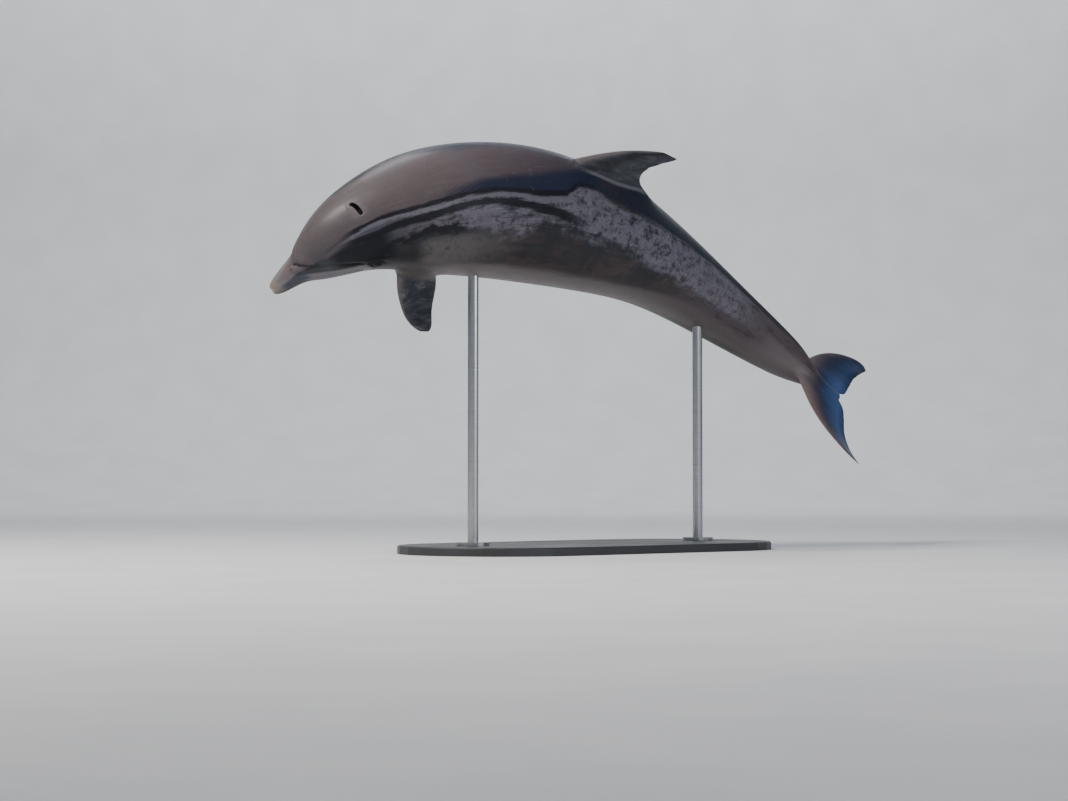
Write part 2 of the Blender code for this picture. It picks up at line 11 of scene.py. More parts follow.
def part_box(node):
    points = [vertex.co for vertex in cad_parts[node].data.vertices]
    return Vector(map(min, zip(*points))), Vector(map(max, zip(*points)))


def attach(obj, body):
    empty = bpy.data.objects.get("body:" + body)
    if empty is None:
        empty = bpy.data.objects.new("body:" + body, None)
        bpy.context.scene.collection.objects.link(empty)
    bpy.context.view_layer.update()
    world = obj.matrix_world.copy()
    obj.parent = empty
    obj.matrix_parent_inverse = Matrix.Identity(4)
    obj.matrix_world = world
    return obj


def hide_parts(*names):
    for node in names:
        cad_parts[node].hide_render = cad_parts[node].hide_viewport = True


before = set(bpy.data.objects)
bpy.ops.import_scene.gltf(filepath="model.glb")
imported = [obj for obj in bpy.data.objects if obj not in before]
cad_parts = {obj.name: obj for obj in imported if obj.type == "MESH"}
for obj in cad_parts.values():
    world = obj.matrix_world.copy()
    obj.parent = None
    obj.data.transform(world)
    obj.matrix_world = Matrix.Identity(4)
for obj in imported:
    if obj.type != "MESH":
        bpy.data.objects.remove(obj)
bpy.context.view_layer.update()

# ------------------------------ sizes of the animal
LENGTH = 2.60           # m, beak tip to the flukes' back edge beside the notch, along the spine
COLUMNS = 16            # corners of the control cage round the body
RING_SWELL = 1.022      # makes up for what subdivision takes off a round ring

# All sizes below are shares of LENGTH unless a unit is given.
# Body rings: place along the spine, back above it, belly below it, half width, keel.
BODY_RINGS = (
    (0.0015, 0.0042, 0.0050, 0.0058, 0.0),      # beak tip
    (0.0090, 0.0076, 0.0104, 0.0104, 0.0),
    (0.0210, 0.0104, 0.0136, 0.0134, 0.0),
    (0.0340, 0.0130, 0.0158, 0.0160, 0.0),
    (0.0440, 0.0158, 0.0188, 0.0194, 0.0),      # crease below the melon
    (0.0520, 0.0225, 0.0215, 0.0244, 0.0),
    (0.0620, 0.0332, 0.0262, 0.0312, 0.0),
    (0.0770, 0.0430, 0.0334, 0.0380, 0.0),
    (0.0950, 0.0508, 0.0402, 0.0446, 0.0),
    (0.1130, 0.0548, 0.0462, 0.0494, 0.0),
    (0.1300, 0.0578, 0.0518, 0.0545, 0.0),      # blowhole and eyes
    (0.1500, 0.0606, 0.0590, 0.0608, 0.0),
    (0.1740, 0.0642, 0.0668, 0.0680, 0.0),      # flippers begin
    (0.1960, 0.0684, 0.0732, 0.0736, 0.0),
    (0.2180, 0.0728, 0.0784, 0.0782, 0.0),
    (0.2420, 0.0768, 0.0826, 0.0816, 0.0),      # flippers end
    (0.2820, 0.0834, 0.0874, 0.0850, 0.0),
    (0.3340, 0.0892, 0.0906, 0.0862, 0.0),
    (0.3880, 0.0906, 0.0908, 0.0852, 0.0),      # dorsal fin begins
    (0.4300, 0.0886, 0.0886, 0.0826, 0.0),
    (0.4720, 0.0842, 0.0848, 0.0792, 0.0),
    (0.5140, 0.0822, 0.0800, 0.0748, 0.0),
    (0.5560, 0.0766, 0.0742, 0.0690, 0.0),      # dorsal fin ends
    (0.6050, 0.0678, 0.0672, 0.0616, 0.05),
    (0.6600, 0.0586, 0.0604, 0.0526, 0.15),
    (0.7220, 0.0514, 0.0524, 0.0416, 0.32),
    (0.7860, 0.0450, 0.0438, 0.0314, 0.48),
    (0.8360, 0.0398, 0.0366, 0.0250, 0.55),
    (0.8780, 0.0342, 0.0304, 0.0204, 0.50),
    (0.9060, 0.0284, 0.0252, 0.0184, 0.34),     # flukes begin
    (0.9360, 0.0156, 0.0142, 0.0192, 0.12),
    (0.9620, 0.0064, 0.0062, 0.0184, 0.0),
    (0.9880, 0.0034, 0.0034, 0.0090, 0.0),      # flukes end
    (0.9904, 0.0020, 0.0020, 0.0050, 0.0),      # notch
)
MELON_PINCH = {0.0440: 0.08, 0.0520: 0.15, 0.0620: 0.19, 0.0770: 0.15, 0.0950: 0.07}

DORSAL_FIN_RINGS = (0.3880, 0.5560)
DORSAL_FIN = (          # (leading x, z), (trailing x, z), half thickness
    ((0.3945, 0.0985), (0.5340, 0.0868), 0.0125),
    ((0.4060, 0.1070), (0.5160, 0.0932), 0.0090),
    ((0.4270, 0.1190), (0.5038, 0.1058), 0.0074),
    ((0.4590, 0.1360), (0.5062, 0.1227), 0.0056),
    ((0.5099, 0.1508), (0.5412, 0.1490), 0.0024),
)
FLIPPER_RINGS = (0.1740, 0.2420)
FLIPPER_ROOT, FLIPPER_DROOP = 45.0, 70.0        # degrees below the side, degrees below level
FLIPPER = (             # distance out from the root, leading x, trailing x, half thickness
    (0.0080, 0.1705, 0.2450, 0.0120),
    (0.0240, 0.1695, 0.2505, 0.0090),
    (0.0440, 0.1755, 0.2515, 0.0072),
    (0.0660, 0.1890, 0.2535, 0.0056),
    (0.0835, 0.2120, 0.2620, 0.0040),
    (0.0948, 0.2400, 0.2597, 0.0022),
)
FLUKE_RINGS = (0.9060, 0.9880)
FLUKE = (               # leading corner (out, x), trailing corner (out, x), half thickness
    ((0.0260, 0.9205), (0.0165, 1.0025), 0.0090),
    ((0.0480, 0.9310), (0.0375, 1.0050), 0.0066),
    ((0.0730, 0.9440), (0.0560, 1.0090), 0.0049),
    ((0.0970, 0.9680), (0.0760, 1.0170), 0.0034),
    ((0.1110, 1.0060), (0.0950, 1.0285), 0.0022),
    ((0.1145, 1.0290), (0.1125, 1.0375), 0.0011),
)
# How far the tail beat lifts each level's leading and trailing corner, left fluke and right fluke.
FLUKE_FLEX = {
    1.0: ((-0.0055, -0.0040), (-0.0100, -0.0075), (-0.0135, -0.0125),
          (-0.0142, -0.0160), (-0.0100, -0.0137), (-0.0055, -0.0070)),
    -1.0: ((0.0022, -0.0010), (0.0068, 0.0010), (0.0130, 0.0045),
           (0.0195, 0.0080), (0.0130, -0.0005), (0.0000, -0.0070)),
}

# The leap: the heading, pitch and bank at mid-body, and bends in degrees per body length.
HEADING, NOSE_UP, BANK = 43.2, 10.9, 47.0
BEND_PLACES = (0.03, 0.10, 0.17, 0.25, 0.45, 0.65, 0.85, 1.00)
BEND_DOWN = (-15, 320, 275, 125, 45, 50, -40, -20)
BEND_LEFT = (-15, 75, 95, 30, 30, 70, 130, -55)
TWIST = (0, 10, -20, -70, -10, -90, 60, 180)
SPINE_FROM, SPINE_TO, SPINE_STEP = -0.02, 1.06, 0.005

# Head features, as places (share of LENGTH) and degrees above the side.
MOUTH_LINE = ((-0.010, 0.0000), (0.000, 0.0000), (0.030, 0.0015), (0.060, -0.0015),
              (0.085, -0.0060), (0.103, -0.0065), (0.112, -0.0045))     # place, height
LIP_CREASE = ((0.0456, 90), (0.0543, 64), (0.0613, 50), (0.0744, 33), (0.0875, 23),
              (0.1011, 16), (0.1144, 10), (0.1215, 7))                  # place, degrees
EYE_AT, EYE_HEIGHT, EYE_SINK = 0.1300, 0.0040, 0.0046
EYE_RADIUS = 0.0165     # m
BLOWHOLE = ((0.1311, 97), (0.1325, 94.5), (0.1335, 91), (0.1341, 87), (0.1344, 83.5), (0.1346, 80.5))
FINE_MESH_END, MARKS_END, RELIEF_END = 0.16, 0.17, 0.20     # where the head's own detail stops
BEAK_END = 0.075
NEAR_REACH, CLOSE_REACH = 0.030, 0.0080     # m, how far round the head's features the mesh is finer
LID_REACH = 0.016       # m, from the middle of an eye to the ends of its lids
EYE_OPENING = (0.0165, 0.0090, 0.0022)      # m, half length, half height, and what that loses at the ends
CORNEA_RISE, CORNEA_REACH = 0.0011, 0.0070  # m
MUSCLE_SWELL = 0.0030   # m, along the tail stock
NO_MARK = 0.2           # m, a distance at which no mark shows
DORSAL_TRAILING = ((0.110, 0.150), (0.482, 0.515))      # heights, and places in front of the edge
NICKS = ((1.0, 0.1225, 0.0060), (0.6, 0.1345, 0.0045))  # share of the depth, height, half width in m
FLUKE_BACK = 0.985      # where the flukes' worn back edge begins

# Where the colouring changes, as places along the body and degrees above the side.
SKIN_LINES = {
    "above_cape_line": ((0.06, 58), (0.08, 59), (0.10, 63), (0.12, 65), (0.15, 66), (0.18, 63),
                        (0.21, 63), (0.245, 65.5), (0.29, 64), (0.34, 59), (0.38, 61), (0.40, 71),
                        (0.435, 72), (0.46, 66), (0.50, 64), (0.60, 64), (0.66, 63), (0.73, 70),
                        (0.79, 74), (0.85, 76), (0.93, 84)),
    "above_second_line": ((0.06, 55), (0.08, 54), (0.10, 54), (0.14, 51), (0.165, 53), (0.19, 52),
                          (0.22, 55), (0.25, 58), (0.28, 57), (0.31, 53), (0.34, 48), (0.37, 45),
                          (0.41, 40)),
    "above_band_foot": ((0.125, 20), (0.16, 37), (0.20, 42), (0.25, 38), (0.29, 31), (0.32, 27),
                        (0.345, 42), (0.39, 38), (0.43, 33), (0.50, 32), (0.56, 20), (0.62, 13),
                        (0.68, 8), (0.74, 9), (0.80, 16), (0.90, 30)),
    "above_navy": ((0.17, 64), (0.20, 71), (0.228, 76), (0.264, 78), (0.304, 79), (0.345, 80),
                   (0.384, 84), (0.42, 90), (0.45, 96)),
    "above_low_flank": ((0.21, 5), (0.27, -3), (0.35, -9), (0.42, -13), (0.53, -15), (0.65, -13),
                        (0.80, -12), (0.90, 0)),
}

# On the right side the lines hang lower: degrees there, and the degrees they are read at.
RIGHT_SIDE, READ_AT = (-90, -20, 30, 90), (-90, -20, 62, 90)

# m, the studio's sweep: its half width, its front edge, its wall, and the cove between them
FLOOR_REACH, FLOOR_FRONT, WALL_DISTANCE, WALL_HEIGHT = 20.0, -16.0, 13.0, 12.0
COVE_RADIUS, COVE_STEPS = 3.0, 12

CAMERA_OFF = (0.0722, 3.1746, 0.3261)       # left of the spine's middle, in front of it, below it
CAMERA_UP, LENS, SENSOR = 1.87, 80.9, 36.0  # degrees above level, mm, mm


# ------------------------------ the bent spine
def turned(axes, axis, degrees):
    """The three axes (rows) turned about one of them."""
    rotation = np.array(Matrix.Rotation(math.radians(degrees), 3, Vector(axis)))
    return axes @ rotation.T


def spine():
    """Places, centre points and axes (forward, left, up) along the bent spine."""
    forward, left, up = np.array((-1.0, 0, 0)), np.array((0, -1.0, 0)), np.array((0, 0, 1.0))
    middle = np.array((forward, left, up))
    middle = turned(middle, forward, -BANK)
    middle = turned(middle, left, -NOSE_UP)
    middle = turned(middle, up, HEADING)
    places = np.arange(SPINE_FROM, SPINE_TO + SPINE_STEP / 2, SPINE_STEP)
    centres = np.zeros((len(places), 3))
    axes = np.zeros((len(places), 3, 3))
    start = int(round((0.5 - SPINE_FROM) / SPINE_STEP))
    axes[start] = middle
    for way in (-1, 1):
        here = start
        while 0 <= here + way < len(places):
            centres[here + way] = centres[here] - way * axes[here][0] * SPINE_STEP * LENGTH
            rates = [np.interp(places[here], BEND_PLACES, rate)
                     for rate in (TWIST, BEND_DOWN, BEND_LEFT)]
            bend = sum(rate * axis for rate, axis in zip(rates, axes[here])) * -way * SPINE_STEP
            angle = float(np.linalg.norm(bend))
            axes[here + way] = turned(axes[here], bend / angle, angle)
            here += way
    return places, centres, axes


PLACES, CENTRES, AXES = spine()


def posed(points):
    """World points for points of the straight animal, in metres."""
    points = np.atleast_2d(np.array(points, float))
    where = points[:, 0] / LENGTH
    centre = np.stack([np.interp(where, PLACES, CENTRES[:, k]) for k in range(3)], axis=1)
    left = np.stack([np.interp(where, PLACES, AXES[:, 1, k]) for k in range(3)], axis=1)
    up = np.stack([np.interp(where, PLACES, AXES[:, 2, k]) for k in range(3)], axis=1)
    return centre + left * points[:, 1:2] + up * points[:, 2:3] + LIFT


def body_size(place):
    """Back, belly and half width at a place, as shares of LENGTH."""
    stations = [ring[0] for ring in BODY_RINGS]
    return [np.interp(place, stations, [ring[k] for ring in BODY_RINGS]) for k in (1, 2, 3)]


def eye_place(sign):
    """The centre of an eyeball in the straight animal."""
    back, belly, width = body_size(EYE_AT)
    side = width * math.sqrt(1.0 - (EYE_HEIGHT / back) ** 2) - EYE_SINK
    return np.array((EYE_AT, sign * side, EYE_HEIGHT)) * LENGTH


# The CAD eye says where the bent spine's middle lies in the shared frame.
LIFT = np.zeros(3)
low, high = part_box("eye_left")
LIFT = np.array((low + high) / 2) - posed(eye_place(1.0))[0]


# ------------------------------ modelling by hand
def select_only(thing):
    bpy.ops.object.select_all(action="DESELECT")
    thing.select_set(True)
    bpy.context.view_layer.objects.active = thing


def apply_modifier(thing, kind, **settings):
    """Add a modifier and apply it, as the Apply button does."""
    select_only(thing)
    modifier = thing.modifiers.new(kind.title(), kind)
    for name, value in settings.items():
        setattr(modifier, name, value)
    bpy.ops.object.modifier_apply(modifier=modifier.name)


def coordinates(mesh, what="co"):
    """The vertices' places or normals as rows of three numbers."""
    flat = np.zeros(len(mesh.vertices) * 3, np.float32)
    mesh.vertices.foreach_get(what, flat)
    return flat.reshape(-1, 3).astype(float)


def move_to(mesh, points):
    mesh.vertices.foreach_set("co", np.asarray(points, np.float32).ravel())
    mesh.update()


def keep_attribute(mesh, name, values):
    """Store a number or a vector on every vertex, for the materials to read."""
    values = np.asarray(values, np.float32)
    kind, field = ("FLOAT_VECTOR", "vector") if values.ndim == 2 else ("FLOAT", "value")
    attribute = mesh.attributes.new(name, kind, "POINT")
    attribute.data.foreach_set(field, values.ravel())


def face_outwards(thing, inside=False):
    """Recalculate the normals, and leave edit mode."""
    select_only(thing)
    bpy.ops.object.mode_set(mode="EDIT")
    bpy.ops.mesh.select_all(action="SELECT")
    bpy.ops.mesh.normals_make_consistent(inside=inside)
    bpy.ops.object.mode_set(mode="OBJECT")


# ------------------------------ the control cage
def cage_layers(thing):
    """The cage in edit mode, and the layers that number its rings and columns."""
    cage = bmesh.from_edit_mesh(thing.data)
    return cage, cage.verts.layers.int["row"], cage.verts.layers.int["column"]


def ring_corner(ring, column):
    place, back, belly, width, keel = ring
    angle = math.radians(90.0 - (column + 0.5) * 360.0 / COLUMNS)
    side, height = math.cos(angle), math.sin(angle)
    side = math.copysign(abs(side) ** (1.0 + keel), side)
    if height > 0:
        side *= 1.0 - MELON_PINCH.get(place, 0.0)
    reach = back if height > 0 else belly
    return Vector((place, width * side * RING_SWELL, reach * height * RING_SWELL)) * LENGTH


def section(along, thickness):
    """Where a fin's corner lies across its chord: share from the leading edge, half thickness."""
    chord = (0.0, 0.12, 0.45, 0.80, 1.0)
    thick = (0.34, 0.86, 1.0, 0.52, 0.14)
    steps = np.linspace(0.0, 1.0, len(chord))
    return float(np.interp(along, steps, chord)), float(np.interp(along, steps, thick)) * thickness


def dorsal_corner(level, sign, along, upper):
    (lead_x, lead_z), (trail_x, trail_z), half = level
    chord, thick = section(along, half)
    return Vector((lead_x + (trail_x - lead_x) * chord, thick if upper else -thick,
                   lead_z + (trail_z - lead_z) * chord))


def flipper_corner(level, sign, along, upper):
    out, lead_x, trail_x, half = level
    back, belly, width = body_size(sum(FLIPPER_RINGS) / 2)
    root, droop = math.radians(FLIPPER_ROOT), math.radians(FLIPPER_DROOP)
    chord, thick = section(along, half)
    offset = thick if upper else -thick
    side = width * math.cos(root) + out * math.cos(droop) + offset * math.sin(droop)
    height = -belly * math.sin(root) - out * math.sin(droop) + offset * math.cos(droop)
    return Vector((lead_x + (trail_x - lead_x) * chord, sign * side, height))


def fluke_corner(level, sign, along, upper):
    (lead_out, lead_x), (trail_out, trail_x), half = level
    lead_rise, trail_rise = FLUKE_FLEX[sign][FLUKE.index(level)]
    chord, thick = section(along, half)
    return Vector((lead_x + (trail_x - lead_x) * chord,
                   sign * (lead_out + (trail_out - lead_out) * chord),
                   lead_rise + (trail_rise - lead_rise) * chord + (thick if upper else -thick)))


def grow_fin(thing, rings, columns, levels, corner, sign=1.0):
    """Extrude the faces between two rings and two columns through the levels of a fin."""
    first, last = rings
    stations = [ring[0] for ring in BODY_RINGS]
    rows = range(stations.index(first), stations.index(last) + 1)
    bpy.ops.mesh.select_all(action="DESELECT")
    cage, row, column = cage_layers(thing)
    for face in cage.faces:
        face.select_set(all(v[row] in rows and v[column] in columns for v in face.verts))
    bmesh.update_edit_mesh(thing.data)
    for level in levels:
        bpy.ops.mesh.extrude_region_move()
        cage, row, column = cage_layers(thing)
        for vert in (vert for vert in cage.verts if vert.select):
            along = (vert[row] - rows[0]) / (rows[-1] - rows[0])
            vert.co = corner(level, sign, along, columns.index(vert[column]) == 1) * LENGTH
        bmesh.update_edit_mesh(thing.data)


def control_cage():
    """The whole straight animal as one closed cage of quads, grown ring by ring."""
    bpy.ops.object.select_all(action="DESELECT")
    bpy.ops.mesh.primitive_circle_add(vertices=COLUMNS, radius=0.01, fill_type="NOTHING")
    thing = bpy.context.object
    thing.name = thing.data.name = "dolphin_skin"
    for name in ("row", "column"):
        thing.data.attributes.new(name, "INT", "POINT")
    thing.data.attributes["column"].data.foreach_set("value", range(COLUMNS))
    for vert in thing.data.vertices:
        vert.co = ring_corner(BODY_RINGS[0], vert.index)
    bpy.ops.object.mode_set(mode="EDIT")
    bpy.ops.mesh.select_all(action="SELECT")
    for number, ring in enumerate(BODY_RINGS[1:], start=1):
        bpy.ops.mesh.extrude_region_move()
        cage, row, column = cage_layers(thing)
        for vert in (vert for vert in cage.verts if vert.select):
            vert[row] = number
            vert.co = ring_corner(ring, vert[column])
        bmesh.update_edit_mesh(thing.data)
    cage, row, column = cage_layers(thing)
    for end in (0, len(BODY_RINGS) - 1):
        corners = {vert[column]: vert for vert in cage.verts if vert[row] == end}
        pairs = [(corners[(3 - k) % COLUMNS], corners[(4 + k) % COLUMNS])
                 for k in range(COLUMNS // 2)]
        for (top_a, low_a), (top_b, low_b) in zip(pairs, pairs[1:]):
            cage.faces.new((top_a, top_b, low_b, low_a))
    bmesh.update_edit_mesh(thing.data)
    grow_fin(thing, DORSAL_FIN_RINGS, (COLUMNS - 1, 0), DORSAL_FIN, dorsal_corner)
    for sign, flipper_columns, fluke_columns in ((1.0, (6, 5), (4, 3)), (-1.0, (9, 10), (11, 12))):
        grow_fin(thing, FLIPPER_RINGS, flipper_columns, FLIPPER, flipper_corner, sign)
        grow_fin(thing, FLUKE_RINGS, fluke_columns, FLUKE, fluke_corner, sign)
    bpy.ops.object.mode_set(mode="OBJECT")
    face_outwards(thing)
    for name in ("row", "column"):
        thing.data.attributes.remove(thing.data.attributes[name])
    return thing


# ------------------------------ features of the skin
def surface_point(place, degrees):
    """A point of the plain body, by its place and its degrees above the left side, in metres."""
    back, belly, width = body_size(place)
    angle = np.radians(degrees)
    reach = np.where(np.sin(angle) > 0, back, belly)
    return np.stack([place + 0 * angle, width * np.cos(angle), reach * np.sin(angle)], axis=-1) * LENGTH


def degrees_of(points):
    """How far round the body each point is, in degrees above the left side."""
    places = points[:, 0] / LENGTH
    back, belly, width = body_size(places)
    height = points[:, 2] / np.where(points[:, 2] > 0, back, belly)
    return np.degrees(np.arctan2(height, points[:, 1] / width))


def path_distance(points, path):
    """Distance to a path of points, and how far along it the nearest point lies (0 to 1)."""
    best = np.full(len(points), 1e9)
    along = np.zeros(len(points))
    lengths = np.linalg.norm(np.diff(path, axis=0), axis=1)
    start = np.concatenate([[0.0], np.cumsum(lengths)])
    for k, (a, b) in enumerate(zip(path, path[1:])):
        share = np.clip(((points - a) @ (b - a)) / lengths[k] ** 2, 0, 1)
        distance = np.linalg.norm(points - (a + share[:, None] * (b - a)), axis=1)
        nearer = distance < best
        best[nearer] = distance[nearer]
        along[nearer] = (start[k] + share[nearer] * lengths[k]) / start[-1]
    return best, along


def ease(values, low, high):
    """0 below low, 1 above high, smooth between."""
    share = np.clip((values - low) / (high - low), 0, 1)
    return share * share * (3 - 2 * share)


def bump(distance, width):
    """1 on a line, falling smoothly to nothing about two widths away."""
    return np.exp(-(distance / width) ** 2)


def fine_line(stations, steps=6):
    """The same line through more points, rounded at its corners."""
    stations = np.array(stations, float)
    last = len(stations) - 1
    line = np.stack([np.interp(np.linspace(0, last, last * steps + 1), np.arange(last + 1), column)
                     for column in stations.T], 1)
    for sweep in range(steps):
        line[1:-1] = (line[:-2] + 2 * line[1:-1] + line[2:]) / 4
    return line


def mouth_path(sign):
    line = fine_line(MOUTH_LINE[1:])
    back, belly, width = body_size(line[:, 0])
    reach = np.where(line[:, 1] > 0, back, belly)
    side = width * np.sqrt(1 - (line[:, 1] / reach) ** 2)
    return np.stack([line[:, 0], sign * side, line[:, 1]], 1) * LENGTH


def crease_path(sign):
    line = fine_line(LIP_CREASE)
    points = surface_point(line[:, 0], line[:, 1])
    points[:, 1] *= sign
    return points


def blowhole_path():
    line = fine_line(BLOWHOLE)
    return surface_point(line[:, 0], line[:, 1])


def eye_frame(points, sign):
    """Distances from the middle of an eye: along the body towards the tail, up, in metres."""
    centre = eye_place(sign)
    near = np.sign(points[:, 1]) == sign
    along = np.where(near, points[:, 0] - centre[0], 9.0)
    return along, points[:, 2] - centre[2]


def refine(thing, chosen):
    """Subdivide once the faces whose middles are chosen."""
    select_only(thing)
    middles = np.zeros(len(thing.data.polygons) * 3, np.float32)
    thing.data.polygons.foreach_get("center", middles)
    wanted = chosen(middles.reshape(-1, 3).astype(float))
    bpy.ops.object.mode_set(mode="EDIT")
    bpy.ops.mesh.select_mode(type="FACE")
    bpy.ops.mesh.select_all(action="DESELECT")
    bpy.ops.object.mode_set(mode="OBJECT")
    thing.data.polygons.foreach_set("select", wanted)
    bpy.ops.object.mode_set(mode="EDIT")
    bpy.ops.mesh.subdivide(number_cuts=1, quadcorner="INNERVERT", ngon=False)
    bpy.ops.object.mode_set(mode="OBJECT")


def near_head_features(reach, points):
    """Which points lie within a distance of the mouth, crease, eyes and blowhole."""
    close = points[:, 0] < FINE_MESH_END * LENGTH
    some = points[close]
    found = path_distance(some, blowhole_path())[0] < reach * 1.2
    for sign in (1.0, -1.0):
        found |= path_distance(some, mouth_path(sign))[0] < reach
        found |= path_distance(some, crease_path(sign))[0] < reach
        along, up = eye_frame(some, sign)
        found |= np.hypot(along, up * 1.3) < LID_REACH + reach
    close[close] = found
    return close


def shape_head(points, normals):
    """Push the skin in and out along its normals: mouth, crease, eyes, blowhole and folds."""
    offset = np.zeros(len(points))
    places = points[:, 0] / LENGTH
    head = places < RELIEF_END
    for sign in (1.0, -1.0):
        side = (points[:, 1] * sign) > -0.004
        # mouth: a groove that deepens towards the gape, between two rounded lips
        distance, along = path_distance(points, mouth_path(sign))
        strength = (0.45 + 0.55 * ease(along, 0.05, 0.5)) * (1 - ease(along, 0.93, 1.0) * 0.6)
        offset -= np.where(side & head, 0.0046 * strength * bump(distance, 0.0030), 0)
        upper = ease(points[:, 2] - np.interp(places, *zip(*MOUTH_LINE)) * LENGTH, -0.001, 0.002)
        lips = bump(distance - 0.0080, 0.0050) * (0.6 + 0.8 * upper)
        offset += np.where(side & head, 0.0021 * strength * lips, 0)
        # crease between melon and upper lip, deepest at the beak's root, fading at the eye
        distance, along = path_distance(points, crease_path(sign))
        depth = (0.0064 - 0.0022 * ease(along, 0.10, 0.60)) * (1 - ease(along, 0.86, 1.0))
        offset -= np.where(side & head, depth * bump(distance, 0.0044 + 0.0024 * along), 0)
        offset += np.where(side & head, 0.0028 * (1 - along) * bump(distance - 0.016, 0.010), 0)
        # eye: an almond opening between raised lids, with a shallow hollow in front and behind
        along, up = eye_frame(points, sign)
        length, height, less = EYE_OPENING
        almond = np.hypot(along / length, (up - 0.0006) / (height - less * np.abs(along) / length))
        offset -= np.where(head, 0.0075 * (1 - ease(almond, 0.72, 1.02)), 0)
        offset += np.where(head, 0.0042 * bump(almond - 1.32, 0.34), 0)
        offset -= np.where(head, 0.0022 * bump(almond - 2.15, 0.30), 0)
        offset += np.where(head, 0.0020 * bump(np.hypot(along, (up - 0.024) * 1.6), 0.026), 0)
        for turn, reach in ((0.030, 0.012), (0.041, 0.016)):
            wrinkle = bump(np.hypot(along - 0.004, up * 1.15) - turn, 0.0022) * bump(up - 0.006, reach)
            offset -= np.where(head & (along > 0), 0.0011 * wrinkle, 0)
    # blowhole: a crescent slit with a soft rim and a low swelling round it
    distance, along = path_distance(points, blowhole_path())
    thin = np.sin(np.pi * np.clip(along, 0.03, 0.97)) ** 0.6
    top = head & (points[:, 2] > 0)
    offset -= np.where(top, 0.0130 * thin * (1 - ease(distance, 0.0024, 0.0062)), 0)
    offset += np.where(top, 0.0022 * bump(distance - 0.0098, 0.0045), 0)
    offset += np.where(top, 0.0030 * bump(distance, 0.030), 0)
    return points + normals * offset[:, None]


def shape_body(points, normals):
    """Small relief of the body: nicked fin edges, the belly's slits, and faint muscle swells."""
    offset = np.zeros(len(points))
    places = points[:, 0] / LENGTH
    angle = degrees_of(points)
    body = np.abs(points[:, 1]) < 0.06 * LENGTH
    # low swells of muscle along the tail stock, either side of the keel
    for height in (34, -30):
        for sign in (1.0, -1.0):
            turn = angle if sign > 0 else np.where(angle > 0, 180 - angle, -180 - angle)
            swell = bump(turn - height, 17) * ease(places, 0.60, 0.76) * (1 - ease(places, 0.86, 0.93))
            offset += np.where(body, MUSCLE_SWELL * swell, 0)
            offset -= np.where(body, 0.6 * MUSCLE_SWELL * bump(turn - 3, 9) * ease(places, 0.58, 0.74)
                               * (1 - ease(places, 0.86, 0.93)), 0)
    # the belly: navel and genital slit
    below = (points[:, 2] < 0) & (np.abs(points[:, 1]) < 0.03)
    slit = np.hypot(np.maximum(np.abs(places - 0.640) - 0.016, 0) * LENGTH, points[:, 1])
    navel = np.hypot((places - 0.490) * LENGTH, points[:, 1])
    offset -= np.where(below, 0.0045 * bump(slit, 0.0070) + 0.0030 * bump(navel, 0.010), 0)
    moved = points + normals * offset[:, None]
    # trailing edges: a few shallow nicks, worn in by a life at sea
    heights, fronts = np.array(DORSAL_TRAILING) * LENGTH
    high = points[:, 2] > heights[0]
    nick = sum(share * bump(points[:, 2] - height * LENGTH, width) for share, height, width in NICKS)
    trailing = ease(points[:, 0] - np.interp(points[:, 2], heights, fronts), 0.0, 0.05)
    moved[:, 0] -= np.where(high, 0.0055 * nick * trailing, 0)
    out = np.abs(points[:, 1])
    wave = 0.0010 * np.sin(out * 70) + 0.0005 * np.sin(out * 190 + np.sign(points[:, 1]))
    moved[:, 0] += wave * ease(places, FLUKE_BACK, 1.01)
    return moved


def chord_share(places, out, leading, trailing):
    """How far behind a fin's leading edge points lie, as a share of the chord. Edges: (out, place)."""
    start, stop = (np.interp(out, *zip(*edge)) for edge in (leading, trailing))
    return (places - start) / np.maximum(stop - start, 0.01)


